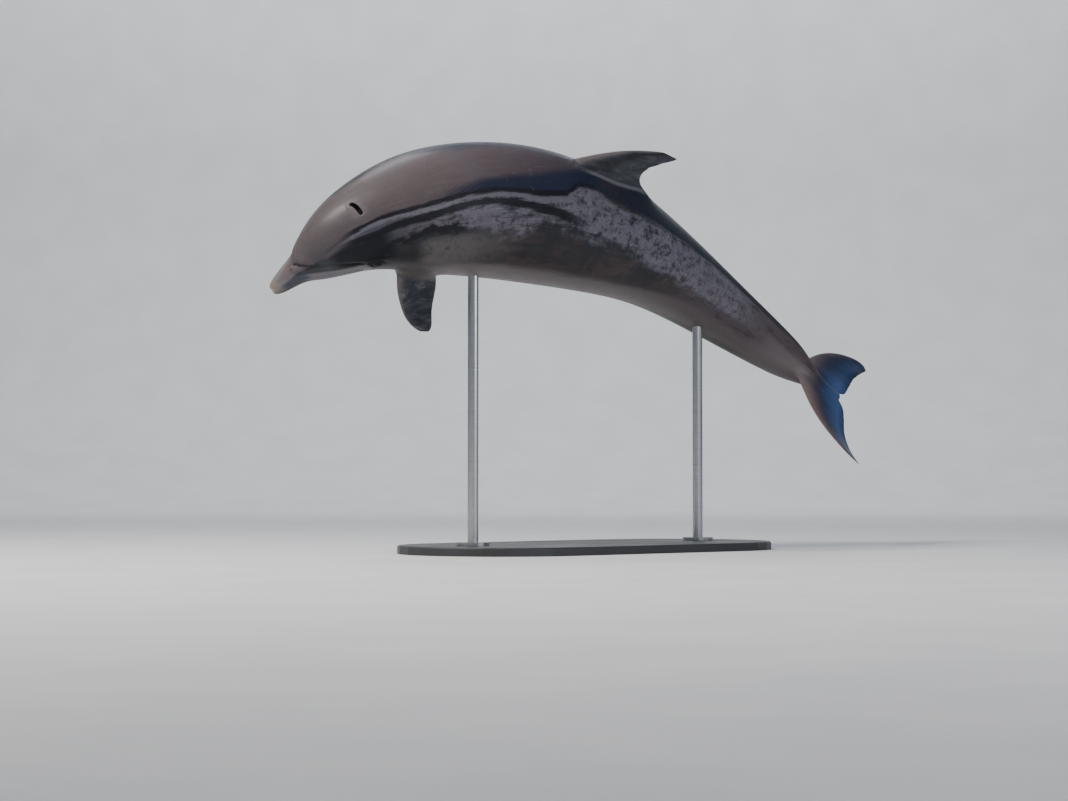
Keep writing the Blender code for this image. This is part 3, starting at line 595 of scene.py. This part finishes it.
def skin_masks(mesh, points):
    """Soft numbers for the material: where each part of the colouring lies."""
    places = points[:, 0] / LENGTH
    side = np.degrees(np.arctan2(points[:, 2], np.abs(points[:, 1])))
    # the cape hangs lower on the right, so that none of its edge shows over the back
    side = np.where(points[:, 1] < 0, np.interp(side, RIGHT_SIDE, READ_AT), side)
    for name, stations in SKIN_LINES.items():
        keep_attribute(mesh, name, side - np.interp(places, *zip(*stations)))
    keep_attribute(mesh, "degrees", side)
    keep_attribute(mesh, "place", places)
    radius = np.hypot(points[:, 1], points[:, 2]) / LENGTH
    back, belly, width = body_size(places)
    proud = radius - np.maximum(np.where(points[:, 2] > 0, back, belly), width)
    fluke = np.maximum(ease(np.abs(points[:, 1]) / LENGTH, 0.016, 0.040), ease(places, 0.930, 0.962))
    fin = np.where(places > 0.90, fluke, ease(proud, 0.002, 0.016))
    keep_attribute(mesh, "fin", fin)
    high = points[:, 2] / LENGTH
    aside = np.abs(points[:, 1]) / LENGTH
    root, droop = math.radians(FLIPPER_ROOT), math.radians(FLIPPER_DROOP)
    out = -(high + body_size(sum(FLIPPER_RINGS) / 2)[1] * math.sin(root)) / math.sin(droop)
    flipper = chord_share(places, out, [level[:2] for level in FLIPPER],
                          [(level[0], level[2]) for level in FLIPPER])
    dorsal = chord_share(places, high, [level[0][::-1] for level in DORSAL_FIN],
                         [(level[0][1], level[1][0]) for level in DORSAL_FIN])
    flukes = chord_share(places, aside, *zip(*[level[:2] for level in FLUKE]))
    lead = np.where((places < 0.30) & (fin > 0.3), flipper, 0.5)
    lead = np.where(high > 0.100, dorsal, np.where(places > 0.90, flukes, lead))
    keep_attribute(mesh, "from_leading_edge", lead)
    eyes = [np.hypot(*eye_frame(points, sign)) for sign in (1.0, -1.0)]
    keep_attribute(mesh, "eye_distance", np.minimum(*eyes))
    head = places < MARKS_END
    for name, paths in (("mouth_distance", [mouth_path(sign) for sign in (1.0, -1.0)]),
                        ("crease_distance", [crease_path(sign) for sign in (1.0, -1.0)]),
                        ("blowhole_distance", [blowhole_path()])):
        distance = np.full(len(points), NO_MARK)
        for path in paths:
            distance[head] = np.minimum(distance[head], path_distance(points[head], path)[0])
        keep_attribute(mesh, name, distance)


def dolphin_skin():
    """One skin over head, jaw, trunk, tail, fins and flukes."""
    thing = control_cage()
    select_only(thing)
    bpy.ops.object.duplicate()
    fair = bpy.context.object
    fair.name = "fair_surface"
    apply_modifier(fair, "SUBSURF", levels=4, render_levels=4)
    apply_modifier(thing, "SUBSURF", levels=3, render_levels=3)
    for beak, reach in ((BEAK_END, NEAR_REACH), (0.0, CLOSE_REACH)):
        refine(thing, lambda points: (points[:, 0] < beak * LENGTH) | near_head_features(reach, points))
        apply_modifier(thing, "SHRINKWRAP", target=fair, wrap_method="NEAREST_SURFACEPOINT")
    bpy.data.objects.remove(fair)

    straight = coordinates(thing.data)
    keep_attribute(thing.data, "rest", straight)
    skin_masks(thing.data, straight)
    move_to(thing.data, shape_body(straight, coordinates(thing.data, "normal")))
    points = coordinates(thing.data)
    points = shape_head(points, coordinates(thing.data, "normal"))
    move_to(thing.data, posed(points))
    thing.data.flip_normals()       # the straight axes are left-handed, so bending mirrors the faces
    select_only(thing)
    bpy.ops.object.shade_smooth()
    return thing


# ------------------------------ materials
def colour(code):
    """An sRGB hex colour as linear RGBA."""
    parts = [int(code[k:k + 2], 16) / 255 for k in (1, 3, 5)]
    linear = [part / 12.92 if part <= 0.04045 else ((part + 0.055) / 1.055) ** 2.4 for part in parts]
    return linear + [1.0]


def new_material(name):
    """A material whose tree holds only the shader and the output."""
    made = bpy.data.materials.new(name)
    made.use_nodes = True
    return made, made.node_tree, made.node_tree.nodes["Principled BSDF"]


def plug(tree, node, inputs):
    """Fill a node's inputs, by number or name: sockets are linked, numbers and hex colours are set."""
    for name, value in inputs.items() if isinstance(inputs, dict) else enumerate(inputs):
        if isinstance(value, bpy.types.NodeSocket):
            tree.links.new(value, node.inputs[name])
        else:
            node.inputs[name].default_value = colour(value) if isinstance(value, str) else value


def add(tree, kind, inputs=(), out=0, stops=(), **settings):
    """Add a node with its inputs, its colour ramp's stops and its settings. Gives one output."""
    node = tree.nodes.new(kind)
    for name, value in settings.items():
        setattr(node, name, value)
    for number, (place, code) in enumerate(stops):
        elements = node.color_ramp.elements
        element = elements[number] if number < 1 else elements.new(place) if number > 1 else elements[1]
        element.position, element.color = place, colour(code)
    plug(tree, node, inputs)
    return node.outputs[out]


def share_of(tree, *limits):
    """How much of a coat shows: the product of its limits, each (value, none here, all here, most)."""
    total = None
    for limit in limits:
        value, none, full = limit[:3]
        most = limit[3] if len(limit) > 3 else 1.0
        eased = add(tree, "ShaderNodeMapRange", (value, none, full, 0.0, most),
                    interpolation_type="SMOOTHSTEP")
        total = add(tree, "ShaderNodeMath", (total, eased), operation="MULTIPLY") if total else eased
    return total


def layers(tree, under, *coats):
    """Lay colours over one another, each where its limits let it show."""
    for over, *limits in coats:
        under = add(tree, "ShaderNodeMix", {0: share_of(tree, *limits), 6: under, 7: over}, out=2,
                    data_type="RGBA")
    return under


def wander(tree, value, noise, reach):
    """A value pushed up and down by a noise, so that an edge drawn from it is not a ruled line."""
    moved = add(tree, "ShaderNodeMath", (noise, -0.5), operation="ADD")
    return add(tree, "ShaderNodeMath", (moved, reach, value), operation="MULTIPLY_ADD")


def wet_skin():
    """Dolphin skin, smooth and rubbery under a film of sea water: dark, with a broad soft gloss."""
    made, tree, shader = new_material("wet_dolphin_skin")
    marks = {name: add(tree, "ShaderNodeAttribute", out=2, attribute_name=name)
             for name in (*SKIN_LINES, "degrees", "place", "fin", "from_leading_edge", "eye_distance",
                          "mouth_distance", "crease_distance", "blowhole_distance")}
    rest = add(tree, "ShaderNodeAttribute", out=1, attribute_name="rest")
    place, turn, fin, lead = (marks[name] for name in ("place", "degrees", "fin", "from_leading_edge"))

    # noises in the straight animal's metres: clouds 250 mm, mottling 25 mm, grain 4 mm,
    # and streaks drawn out along the flow of the water
    cloud = add(tree, "ShaderNodeTexNoise", {0: rest, "Scale": 4.0, "Detail": 3.0, "Roughness": 0.55})
    mottle = add(tree, "ShaderNodeTexNoise", {0: rest, "Scale": 38.0, "Detail": 5.0, "Roughness": 0.66})
    grain = add(tree, "ShaderNodeTexNoise", {0: rest, "Scale": 230.0, "Detail": 2.0, "Roughness": 0.5})
    drawn = add(tree, "ShaderNodeMapping", {0: rest, "Scale": (3.0, 16.0, 16.0)})
    streak = add(tree, "ShaderNodeTexNoise", {0: drawn, "Scale": 2.4, "Detail": 6.0, "Roughness": 0.64,
                                              "Distortion": 0.6})
    hair = add(tree, "ShaderNodeMapping", {0: rest, "Scale": (2.2, 42.0, 42.0)})
    hair = add(tree, "ShaderNodeTexNoise", {0: hair, "Scale": 2.6, "Detail": 4.0, "Roughness": 0.6,
                                            "Distortion": 0.4})

    # back and head: warm brown grey, blue black low on the shoulder and behind the dorsal fin
    back = add(tree, "ShaderNodeValToRGB", (place,), stops=(
        (0.00, "#625b5d"), (0.035, "#5e5659"), (0.07, "#4f4a4d"), (0.22, "#524c4f"), (0.33, "#433c43"),
        (0.41, "#302c36"), (0.50, "#191e2e"), (0.78, "#232839"), (0.90, "#37363d")))
    back = layers(
        tree, back,
        ("#443b3a", (cloud, 0.42, 0.68, 0.40)),
        ("#63585a", (hair, 0.50, 0.72, 0.30), (place, 0.42, 0.30)))
    navy = wander(tree, marks["above_navy"], cloud, 10.0)
    back = layers(
        tree, back,
        ("#1b2033", (navy, 3.0, -6.0, 0.92), (place, 0.17, 0.27), (place, 0.46, 0.42)),
        ("#232a3c", (navy, 2.0, -5.0, 0.60), (place, 0.28, 0.36), (hair, 0.38, 0.62),
         (place, 0.46, 0.42)))

    # flank: dark brown grey, mauve brown on the stock, a little lighter low down; belly grey
    flank = add(tree, "ShaderNodeValToRGB", (share_of(tree, (turn, -60.0, 40.0)),), stops=(
        (0.0, "#3a3837"), (0.26, "#383535"), (0.45, "#343132"), (0.70, "#2c2b2e"), (1.0, "#25272d")))
    flank = layers(
        tree, flank,
        ("#4c3d3b", (cloud, 0.44, 0.60, 0.65), (streak, 0.35, 0.6)),
        ("#1b2120", (cloud, 0.46, 0.34, 0.60), (streak, 0.60, 0.40)))
    low = wander(tree, marks["above_low_flank"], streak, 16.0)
    flank = layers(
        tree, flank,
        ("#625b5b", (low, 3.0, -8.0, 0.88), (place, 0.19, 0.25), (place, 0.93, 0.84)),
        ("#544b4e", (wander(tree, place, cloud, 0.10), 0.58, 0.74, 0.85),
         (wander(tree, turn, streak, 20.0), -34.0, -14.0), (hair, 0.26, 0.54)),
        ("#3f3e3a", (wander(tree, turn, streak, 18.0), -52.0, -76.0)),
        ("#5a5655", (wander(tree, turn, cloud, 24.0), 36.0, 22.0), (turn, -10.0, 4.0),
         (place, 0.176, 0.200), (place, 0.34, 0.23), (mottle, 0.20, 0.52, 0.95)))

    # the cape ends in a near-black line; a pale streak and a second dark line lie under it
    above = wander(tree, marks["above_cape_line"], hair, 6.0)
    second = wander(tree, marks["above_second_line"], hair, 6.0)
    forward = (place, 0.44, 0.38)
    soft = wander(tree, above, streak, 10.0)
    skin = layers(
        tree, flank,
        (back, (above, -2.0, 2.0)),
        (back, (above, -8.0, -3.0), (place, 0.100, 0.080)),
        ("#454650", (soft, 5.0, -7.0, 0.90), (marks["above_band_foot"], -6.0, 6.0),
         (place, 0.060, 0.095), (place, 0.20, 0.15)),
        ("#5b5358", (soft, 0.0, -5.0, 0.70), (soft, -15.0, -9.0), (place, 0.070, 0.090),
         (place, 0.135, 0.115)))

    # below it the band where a film of water runs: lavender grey, with flecks of 8 mm, torn at its edges;
    # the lavender grey and the pale flecks are a painted reflection of the sky in the wet film
    fleck = add(tree, "ShaderNodeMapping", {0: rest, "Scale": (1.0, 1.7, 1.7)})
    fleck = add(tree, "ShaderNodeTexNoise", {0: fleck, "Scale": 130.0, "Detail": 5.0,
                                             "Roughness": 0.70, "Distortion": 0.8})
    foot = wander(tree, wander(tree, marks["above_band_foot"], streak, 30.0), mottle, 22.0)
    ceiling = wander(tree, wander(tree, above, streak, 12.0), fleck, 16.0)
    band = share_of(tree, (foot, -15.0, 12.0), (ceiling, 2.0, -5.0), (place, 0.130, 0.240),
                    (wander(tree, place, cloud, 0.10), 0.90, 0.72))
    # painted reflection of the sky in the film: lavender grey with pale flecks
    skin = layers(
        tree, skin,
        ("#66636d", (band, 0.0, 0.9), (streak, 0.24, 0.50), (mottle, 0.30, 0.54, 0.92)),
        ("#918b93", (band, 0.2, 1.0), (fleck, 0.45, 0.68, 0.62), (mottle, 0.36, 0.60),
         (place, 0.26, 0.40)),
        ("#7d7983", (band, 0.2, 1.0), (hair, 0.46, 0.64, 0.60), (fleck, 0.36, 0.60),
         (place, 0.42, 0.30)),
        ("#1b1c22", (band, 0.3, 1.0), (fleck, 0.46, 0.32, 0.40)),
        ("#2b2a30", (band, 0.3, 1.0), (streak, 0.46, 0.34, 0.45), (mottle, 0.60, 0.42)),
        ("#0f1117", (foot, -12.0, -5.0, 0.85), (foot, 2.0, -2.0), (place, 0.120, 0.145),
         (place, 0.27, 0.22)),
        ("#0d0f15", (second, -6.0, -3.0, 0.93), (second, 5.0, 2.0), (place, 0.088, 0.120), forward))
    pale = wander(tree, wander(tree, above, mottle, 5.0), fleck, 5.0)
    skin = layers(
        tree, skin,
        ("#64626c", (pale, -7.0, -4.5, 0.80), (pale, -1.0, -3.0), (place, 0.095, 0.125), forward,
         (fleck, 0.30, 0.50)),
        ("#101219", (above, -2.5, -0.5, 0.92), (above, 4.5, 1.5), (place, 0.098, 0.125),
         (place, 0.46, 0.39)))

    # head: dark green grey cheek, brown lips, cream beak tip and dark lids; the near-black crease and
    # mouth line are painted shade in their grooves, and the blowhole gets a painted highlight round it
    # and painted shade in its slit
    skin = layers(
        tree, skin,
        ("#0b1016", (wander(tree, turn, streak, 12.0), 56.0, 46.0, 0.94), (turn, 6.0, 16.0),
         (wander(tree, place, streak, 0.016), 0.074, 0.094), (place, 0.165, 0.142)),
        ("#6c6a6f", (marks["mouth_distance"], 0.040, 0.024, 0.90), (place, 0.140, 0.118)),
        ("#343a44", (turn, 58.0, 40.0, 0.75), (turn, 4.0, 14.0), (place, 0.008, 0.024),
         (place, 0.056, 0.046)),
        ("#776d63", (wander(tree, place, mottle, 0.024), 0.018, 0.004, 0.90)),
        ("#a59d92", (wander(tree, place, mottle, 0.018), 0.006, 0.000, 0.80)),
        # painted shade in the mouth's groove and in the crease
        ("#0c0c0e", (marks["mouth_distance"], 0.0046, 0.0014, 0.92), (place, 0.125, 0.10)),
        ("#0b0c0f", (marks["crease_distance"], 0.0130, 0.0045, 0.94), (place, 0.142, 0.126),
         (turn, 72.0, 38.0)),
        # painted highlight round the blowhole, painted shade inside its slit
        ("#6f676c", (marks["blowhole_distance"], 0.026, 0.012, 0.35)),
        ("#070607", (marks["blowhole_distance"], 0.0066, 0.0046)),
        ("#141519", (marks["eye_distance"], 0.036, 0.016, 0.80)))

    # fins: charcoal with faint veins, darkest at the front, and a paler leading edge that is a painted
    # highlight
    veins = add(tree, "ShaderNodeMapping", {0: rest, "Rotation": (0.0, 0.55, 0.0),
                                            "Scale": (1.0, 3.0, 3.0)})
    veins = add(tree, "ShaderNodeTexNoise", {0: veins, "Scale": 7.0, "Detail": 6.0, "Roughness": 0.66,
                                             "Distortion": 1.6})
    fins = add(tree, "ShaderNodeValToRGB", (veins,), stops=(
        (0.30, "#25292f"), (0.46, "#34373d"), (0.58, "#47484e"), (0.72, "#6f6e76")))
    fins = layers(
        tree, fins,
        ("#16161a", (lead, 0.10, 0.22, 0.60), (lead, 0.50, 0.34), (place, 0.30, 0.40)),
        # painted highlight along the leading edge
        ("#625a5b", (lead, 0.14, 0.02, 0.85)))
    skin = layers(
        tree, skin,
        (fins, (fin, 0.0, 0.8)),
        ("#77747a", (fin, 0.10, 0.25, 0.60), (fin, 0.60, 0.35), (place, 0.40, 0.43),
         (place, 0.54, 0.52)))

    # flukes: coppery where they leave the stock and along the leading edge, partly their own brown and
    # partly a painted highlight; deep blue behind, a painted reflection of the sky on their upper faces
    flukes = add(tree, "ShaderNodeValToRGB", (wander(tree, lead, streak, 0.30),), stops=(
        (0.0, "#7c6a66"), (0.20, "#5b4c50"), (0.34, "#363347"), (0.48, "#243454"), (0.80, "#3c5582"),
        (1.0, "#1f3050")))
    flukes = layers(tree, flukes, ("#3d5f92", (hair, 0.52, 0.72, 0.60), (lead, 0.32, 0.55)))
    # painted shade: the right fluke darker than the left
    across = add(tree, "ShaderNodeSeparateXYZ", (rest,), out=1)
    flukes = layers(tree, flukes, ("#141d2f", (across, -0.05, -0.16, 0.60)))
    skin = layers(
        tree, skin,
        (flukes, (place, 0.905, 0.940), (fin, 0.0, 0.8, 0.96)),
        ("#6d6566", (wander(tree, place, streak, 0.03), 0.800, 0.880, 0.85), (place, 0.945, 0.915),
         (turn, 54.0, 18.0)))

    # grain of the skin and a few old rake marks
    skin = layers(
        tree, skin,
        ("#0e0f11", (grain, 0.50, 0.78, 0.22)),
        ("#8a8282", (mottle, 0.60, 0.78, 0.16)))
    raked = add(tree, "ShaderNodeMapping", {0: rest, "Rotation": (0.0, 0.25, 0.35)})
    rake = add(tree, "ShaderNodeTexWave", {0: raked, "Scale": 26.0, "Distortion": 1.2, "Detail": 1.0,
                                           "Detail Scale": 0.8}, out=1, bands_direction="Y")
    here = add(tree, "ShaderNodeTexNoise", {0: rest, "Scale": 7.5, "Detail": 1.0})
    skin = layers(
        tree, skin,
        ("#7c7677", (rake, 0.975, 0.998, 0.16), (here, 0.67, 0.71), (fin, 0.6, 0.1),
         (place, 0.16, 0.22)))

    # wet gloss, broken by the mottling and by the film in the band, with a dull blowhole
    rough = add(tree, "ShaderNodeMapRange", (mottle, 0.30, 0.70, 0.36, 0.48))
    rough = add(tree, "ShaderNodeMath", (band, 0.14, rough), operation="MULTIPLY_ADD")
    hole = share_of(tree, (marks["blowhole_distance"], 0.0075, 0.0035))
    rough = add(tree, "ShaderNodeMath", (hole, 0.6, rough), operation="MULTIPLY_ADD", use_clamp=True)
    # a fine relief, deeper where the film of water runs
    relief = add(tree, "ShaderNodeMath", (grain, 0.3, streak), operation="MULTIPLY_ADD")
    relief = add(tree, "ShaderNodeMath", (mottle, 1.2, relief), operation="MULTIPLY_ADD")
    depth = add(tree, "ShaderNodeMath", (band, 0.0016, 0.0003), operation="MULTIPLY_ADD")
    relief = add(tree, "ShaderNodeMath", (relief, depth), operation="MULTIPLY")
    relief = add(tree, "ShaderNodeBump", {"Strength": 0.8, "Distance": 1.0, "Height": relief})
    plug(tree, shader, {"Base Color": skin, "Roughness": rough, "Normal": relief, "IOR": 1.36,
                        "Specular IOR Level": 0.28, "Coat Weight": 0.07, "Coat Roughness": 0.16,
                        "Coat IOR": 1.33})
    return made


def wet_eye():
    """A dolphin's eye: dark brown iris round a wide low pupil, under a clear wet cornea."""
    made, tree, shader = new_material("wet_eye")
    where = add(tree, "ShaderNodeAttribute", out=1, attribute_name="eye_plane")
    flat = add(tree, "ShaderNodeVectorMath", (where, (1.0, 1.0, 0.0)), operation="MULTIPLY")
    radius = add(tree, "ShaderNodeVectorMath", (flat,), out=1, operation="LENGTH")
    squeezed = add(tree, "ShaderNodeVectorMath", (flat, (1.0, 1.9, 0.0)), operation="MULTIPLY")
    pupil = add(tree, "ShaderNodeVectorMath", (squeezed,), out=1, operation="LENGTH")
    threads = add(tree, "ShaderNodeTexNoise", {0: where, "Scale": 900.0, "Detail": 3.0})
    iris = add(tree, "ShaderNodeValToRGB", (threads,), stops=(
        (0.3, "#120b07"), (0.55, "#20140c"), (0.8, "#332316")))
    # in metres from the middle: the pupil's edge, then the iris's edge and the white beyond it
    eye = layers(
        tree, iris,
        ("#020202", (pupil, 0.0058, 0.0048)),
        ("#241a18", (radius, 0.0084, 0.0100)))
    plug(tree, shader, {"Base Color": eye, "Roughness": 0.12, "IOR": 1.34, "Specular IOR Level": 0.15,
                        "Coat Weight": 0.18, "Coat Roughness": 0.03})
    return made


def powder_coat():
    """Powder-coated steel plate, charcoal: a fine orange-peel skin that breaks up the light."""
    made, tree, shader = new_material("powder_coated_steel")
    where = add(tree, "ShaderNodeTexCoord", out=3)
    peel = add(tree, "ShaderNodeTexNoise", {0: where, "Scale": 420.0, "Detail": 2.0})
    dust = add(tree, "ShaderNodeTexNoise", {0: where, "Scale": 5.0, "Detail": 4.0})
    plug(tree, shader, {
        "Base Color": layers(tree, "#2b2d30", ("#3d3f42", (dust, 0.40, 0.75, 0.4))),
        "Roughness": add(tree, "ShaderNodeMapRange", (dust, 0.3, 0.7, 0.42, 0.56)),
        "Normal": add(tree, "ShaderNodeBump", {"Strength": 0.25, "Distance": 0.0006, "Height": peel})})
    return made


def brushed_steel():
    """Stainless tube brushed round its length: bright, with a soft streaked highlight."""
    made, tree, shader = new_material("brushed_stainless_steel")
    where = add(tree, "ShaderNodeTexCoord", out=3)
    rings = add(tree, "ShaderNodeMapping", {0: where, "Scale": (4.0, 4.0, 1500.0)})
    brush = add(tree, "ShaderNodeTexNoise", {0: rings, "Scale": 1.0, "Detail": 2.0})
    plug(tree, shader, {
        "Base Color": add(tree, "ShaderNodeValToRGB", (brush,),
                          stops=((0.25, "#b4b5b6"), (0.75, "#c6c7c8"))),
        "Roughness": add(tree, "ShaderNodeMapRange", (brush, 0.25, 0.75, 0.26, 0.34)),
        "Metallic": 1.0})
    return made


def studio_paper():
    """Seamless paper, matt and very slightly fibrous."""
    made, tree, shader = new_material("studio_paper")
    where = add(tree, "ShaderNodeTexCoord", out=3)
    fibre = add(tree, "ShaderNodeTexNoise", {0: where, "Scale": 3.0, "Detail": 3.0})
    plug(tree, shader, {"Base Color": layers(tree, "#d3d6d9", ("#dadcde", (fibre, 0.3, 0.7))),
                        "Roughness": 0.85})
    return made


# ------------------------------ eyes
def unit(vector):
    return vector / np.linalg.norm(vector)


def eyeball(name, sign):
    """A ball with a clear cornea's bulge, turned to look out of the side of the head."""
    centre = eye_place(sign)
    bpy.ops.object.select_all(action="DESELECT")
    bpy.ops.mesh.primitive_uv_sphere_add(segments=48, ring_count=32, radius=EYE_RADIUS)
    thing = bpy.context.object
    thing.name = thing.data.name = name
    points = coordinates(thing.data)
    reach = np.hypot(points[:, 0], points[:, 1])
    points[:, 2] += np.where(points[:, 2] > 0, CORNEA_RISE * bump(reach, CORNEA_REACH), 0)
    keep_attribute(thing.data, "eye_plane", points)
    # the ball's own Z looks out to the side, a little forward; X runs back along the head, Y up
    out = unit(np.array((-0.16, sign * 1.0, 0.05)))
    back = unit(np.array((1.0, 0, 0)) - out * out[0])
    up = unit(np.array((0, 0, 1.0)) - out * out[2] - back * back[2])
    straight = centre + points[:, :1] * back + points[:, 1:2] * up + points[:, 2:] * out
    move_to(thing.data, posed(straight))
    face_outwards(thing)
    bpy.ops.object.shade_smooth()
    return thing


# ------------------------------ studio
def studio():
    """A seamless sweep: floor, cove and back wall as one sheet."""
    bpy.ops.object.select_all(action="DESELECT")
    bpy.ops.mesh.primitive_plane_add(size=1.0)
    sweep = bpy.context.object
    sweep.name = "studio_sweep"
    for vert in sweep.data.vertices:
        vert.co = (FLOOR_REACH if vert.co.x > 0 else -FLOOR_REACH,
                   WALL_DISTANCE - COVE_RADIUS if vert.co.y > 0 else FLOOR_FRONT, 0)
    bpy.ops.object.mode_set(mode="EDIT")
    bpy.ops.mesh.select_mode(type="EDGE")
    bpy.ops.mesh.select_all(action="DESELECT")
    bpy.ops.object.mode_set(mode="OBJECT")
    for edge in sweep.data.edges:
        edge.select = all(sweep.data.vertices[k].co.y > 0 for k in edge.vertices)
    bpy.ops.object.mode_set(mode="EDIT")
    arc = math.radians(90 / COVE_STEPS)
    run = COVE_RADIUS * 2 * math.sin(arc / 2)
    turns = [arc * (step + 0.5) for step in range(COVE_STEPS)]
    steps = [(0, run * math.cos(turn), run * math.sin(turn)) for turn in turns]
    for step in (*steps, (0, 0, WALL_HEIGHT)):
        bpy.ops.mesh.extrude_region_move(TRANSFORM_OT_translate={"value": step})
    bpy.ops.object.mode_set(mode="OBJECT")
    face_outwards(sweep, inside=True)
    bpy.ops.object.shade_smooth()
    sweep.data.materials.append(studio_paper())


def softbox(name, place, target, size, watts, tint):
    """A rectangular soft light that faces a point."""
    lamp = bpy.data.lights.new(name, "AREA")
    lamp.shape = "RECTANGLE"
    lamp.size, lamp.size_y = size
    lamp.energy = watts
    lamp.color = colour(tint)[:3]
    made = bpy.data.objects.new(name, lamp)
    bpy.context.scene.collection.objects.link(made)
    made.location = place
    made.rotation_euler = (Vector(target) - Vector(place)).to_track_quat("-Z", "Y").to_euler()


def lights():
    world = bpy.data.worlds.new("studio_air")
    bpy.context.scene.world = world
    world.use_nodes = True
    plug(world.node_tree, world.node_tree.nodes["Background"], {"Color": "#dce6f2", "Strength": 0.30})
    middle = (0.0, 0.0, 1.0)
    softbox("key", (-3.2, -3.0, 5.2), middle, (2.4, 1.8), 520, "#fff6ee")
    softbox("top", (-1.6, 1.6, 5.0), middle, (2.0, 1.2), 60, "#eef3ff")
    softbox("fill", (4.6, -4.6, 2.2), middle, (2.6, 2.6), 110, "#eef3ff")
    softbox("backdrop", (0.0, 8.6, 9.0), (0.0, 13.6, 4.6), (14.0, 1.4), 800, "#ffffff")


def camera():
    """The eye point, level with the tail, looking slightly up at the leaping animal."""
    lens = bpy.data.cameras.new("camera")
    lens.sensor_width, lens.lens, lens.clip_end = SENSOR, LENS, 200
    made = bpy.data.objects.new("camera", lens)
    bpy.context.scene.collection.objects.link(made)
    made.location = Vector(LIFT) - Vector(CAMERA_OFF) * LENGTH
    made.rotation_euler = (math.radians(90.0 + CAMERA_UP), 0.0, 0.0)
    bpy.context.scene.camera = made


# ------------------------------ the model
skin = dolphin_skin()
skin.data.materials.append(wet_skin())
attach(skin, "root")
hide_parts("head", "lower_jaw", "trunk", "tail_stock", "dorsal_fin", "flipper_left", "flipper_right",
            "fluke_left", "fluke_right")

eye_finish = wet_eye()
for side, sign in (("left", 1.0), ("right", -1.0)):
    ball = eyeball("eyeball_" + side, sign)
    ball.data.materials.append(eye_finish)
    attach(ball, "root")
    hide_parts("eye_" + side)

base_finish, rod_finish = powder_coat(), brushed_steel()
for name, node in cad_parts.items():
    if name.startswith("stand_"):
        node.data.materials.clear()
        node.data.materials.append(base_finish if name == "stand_base" else rod_finish)

studio()
lights()
camera()
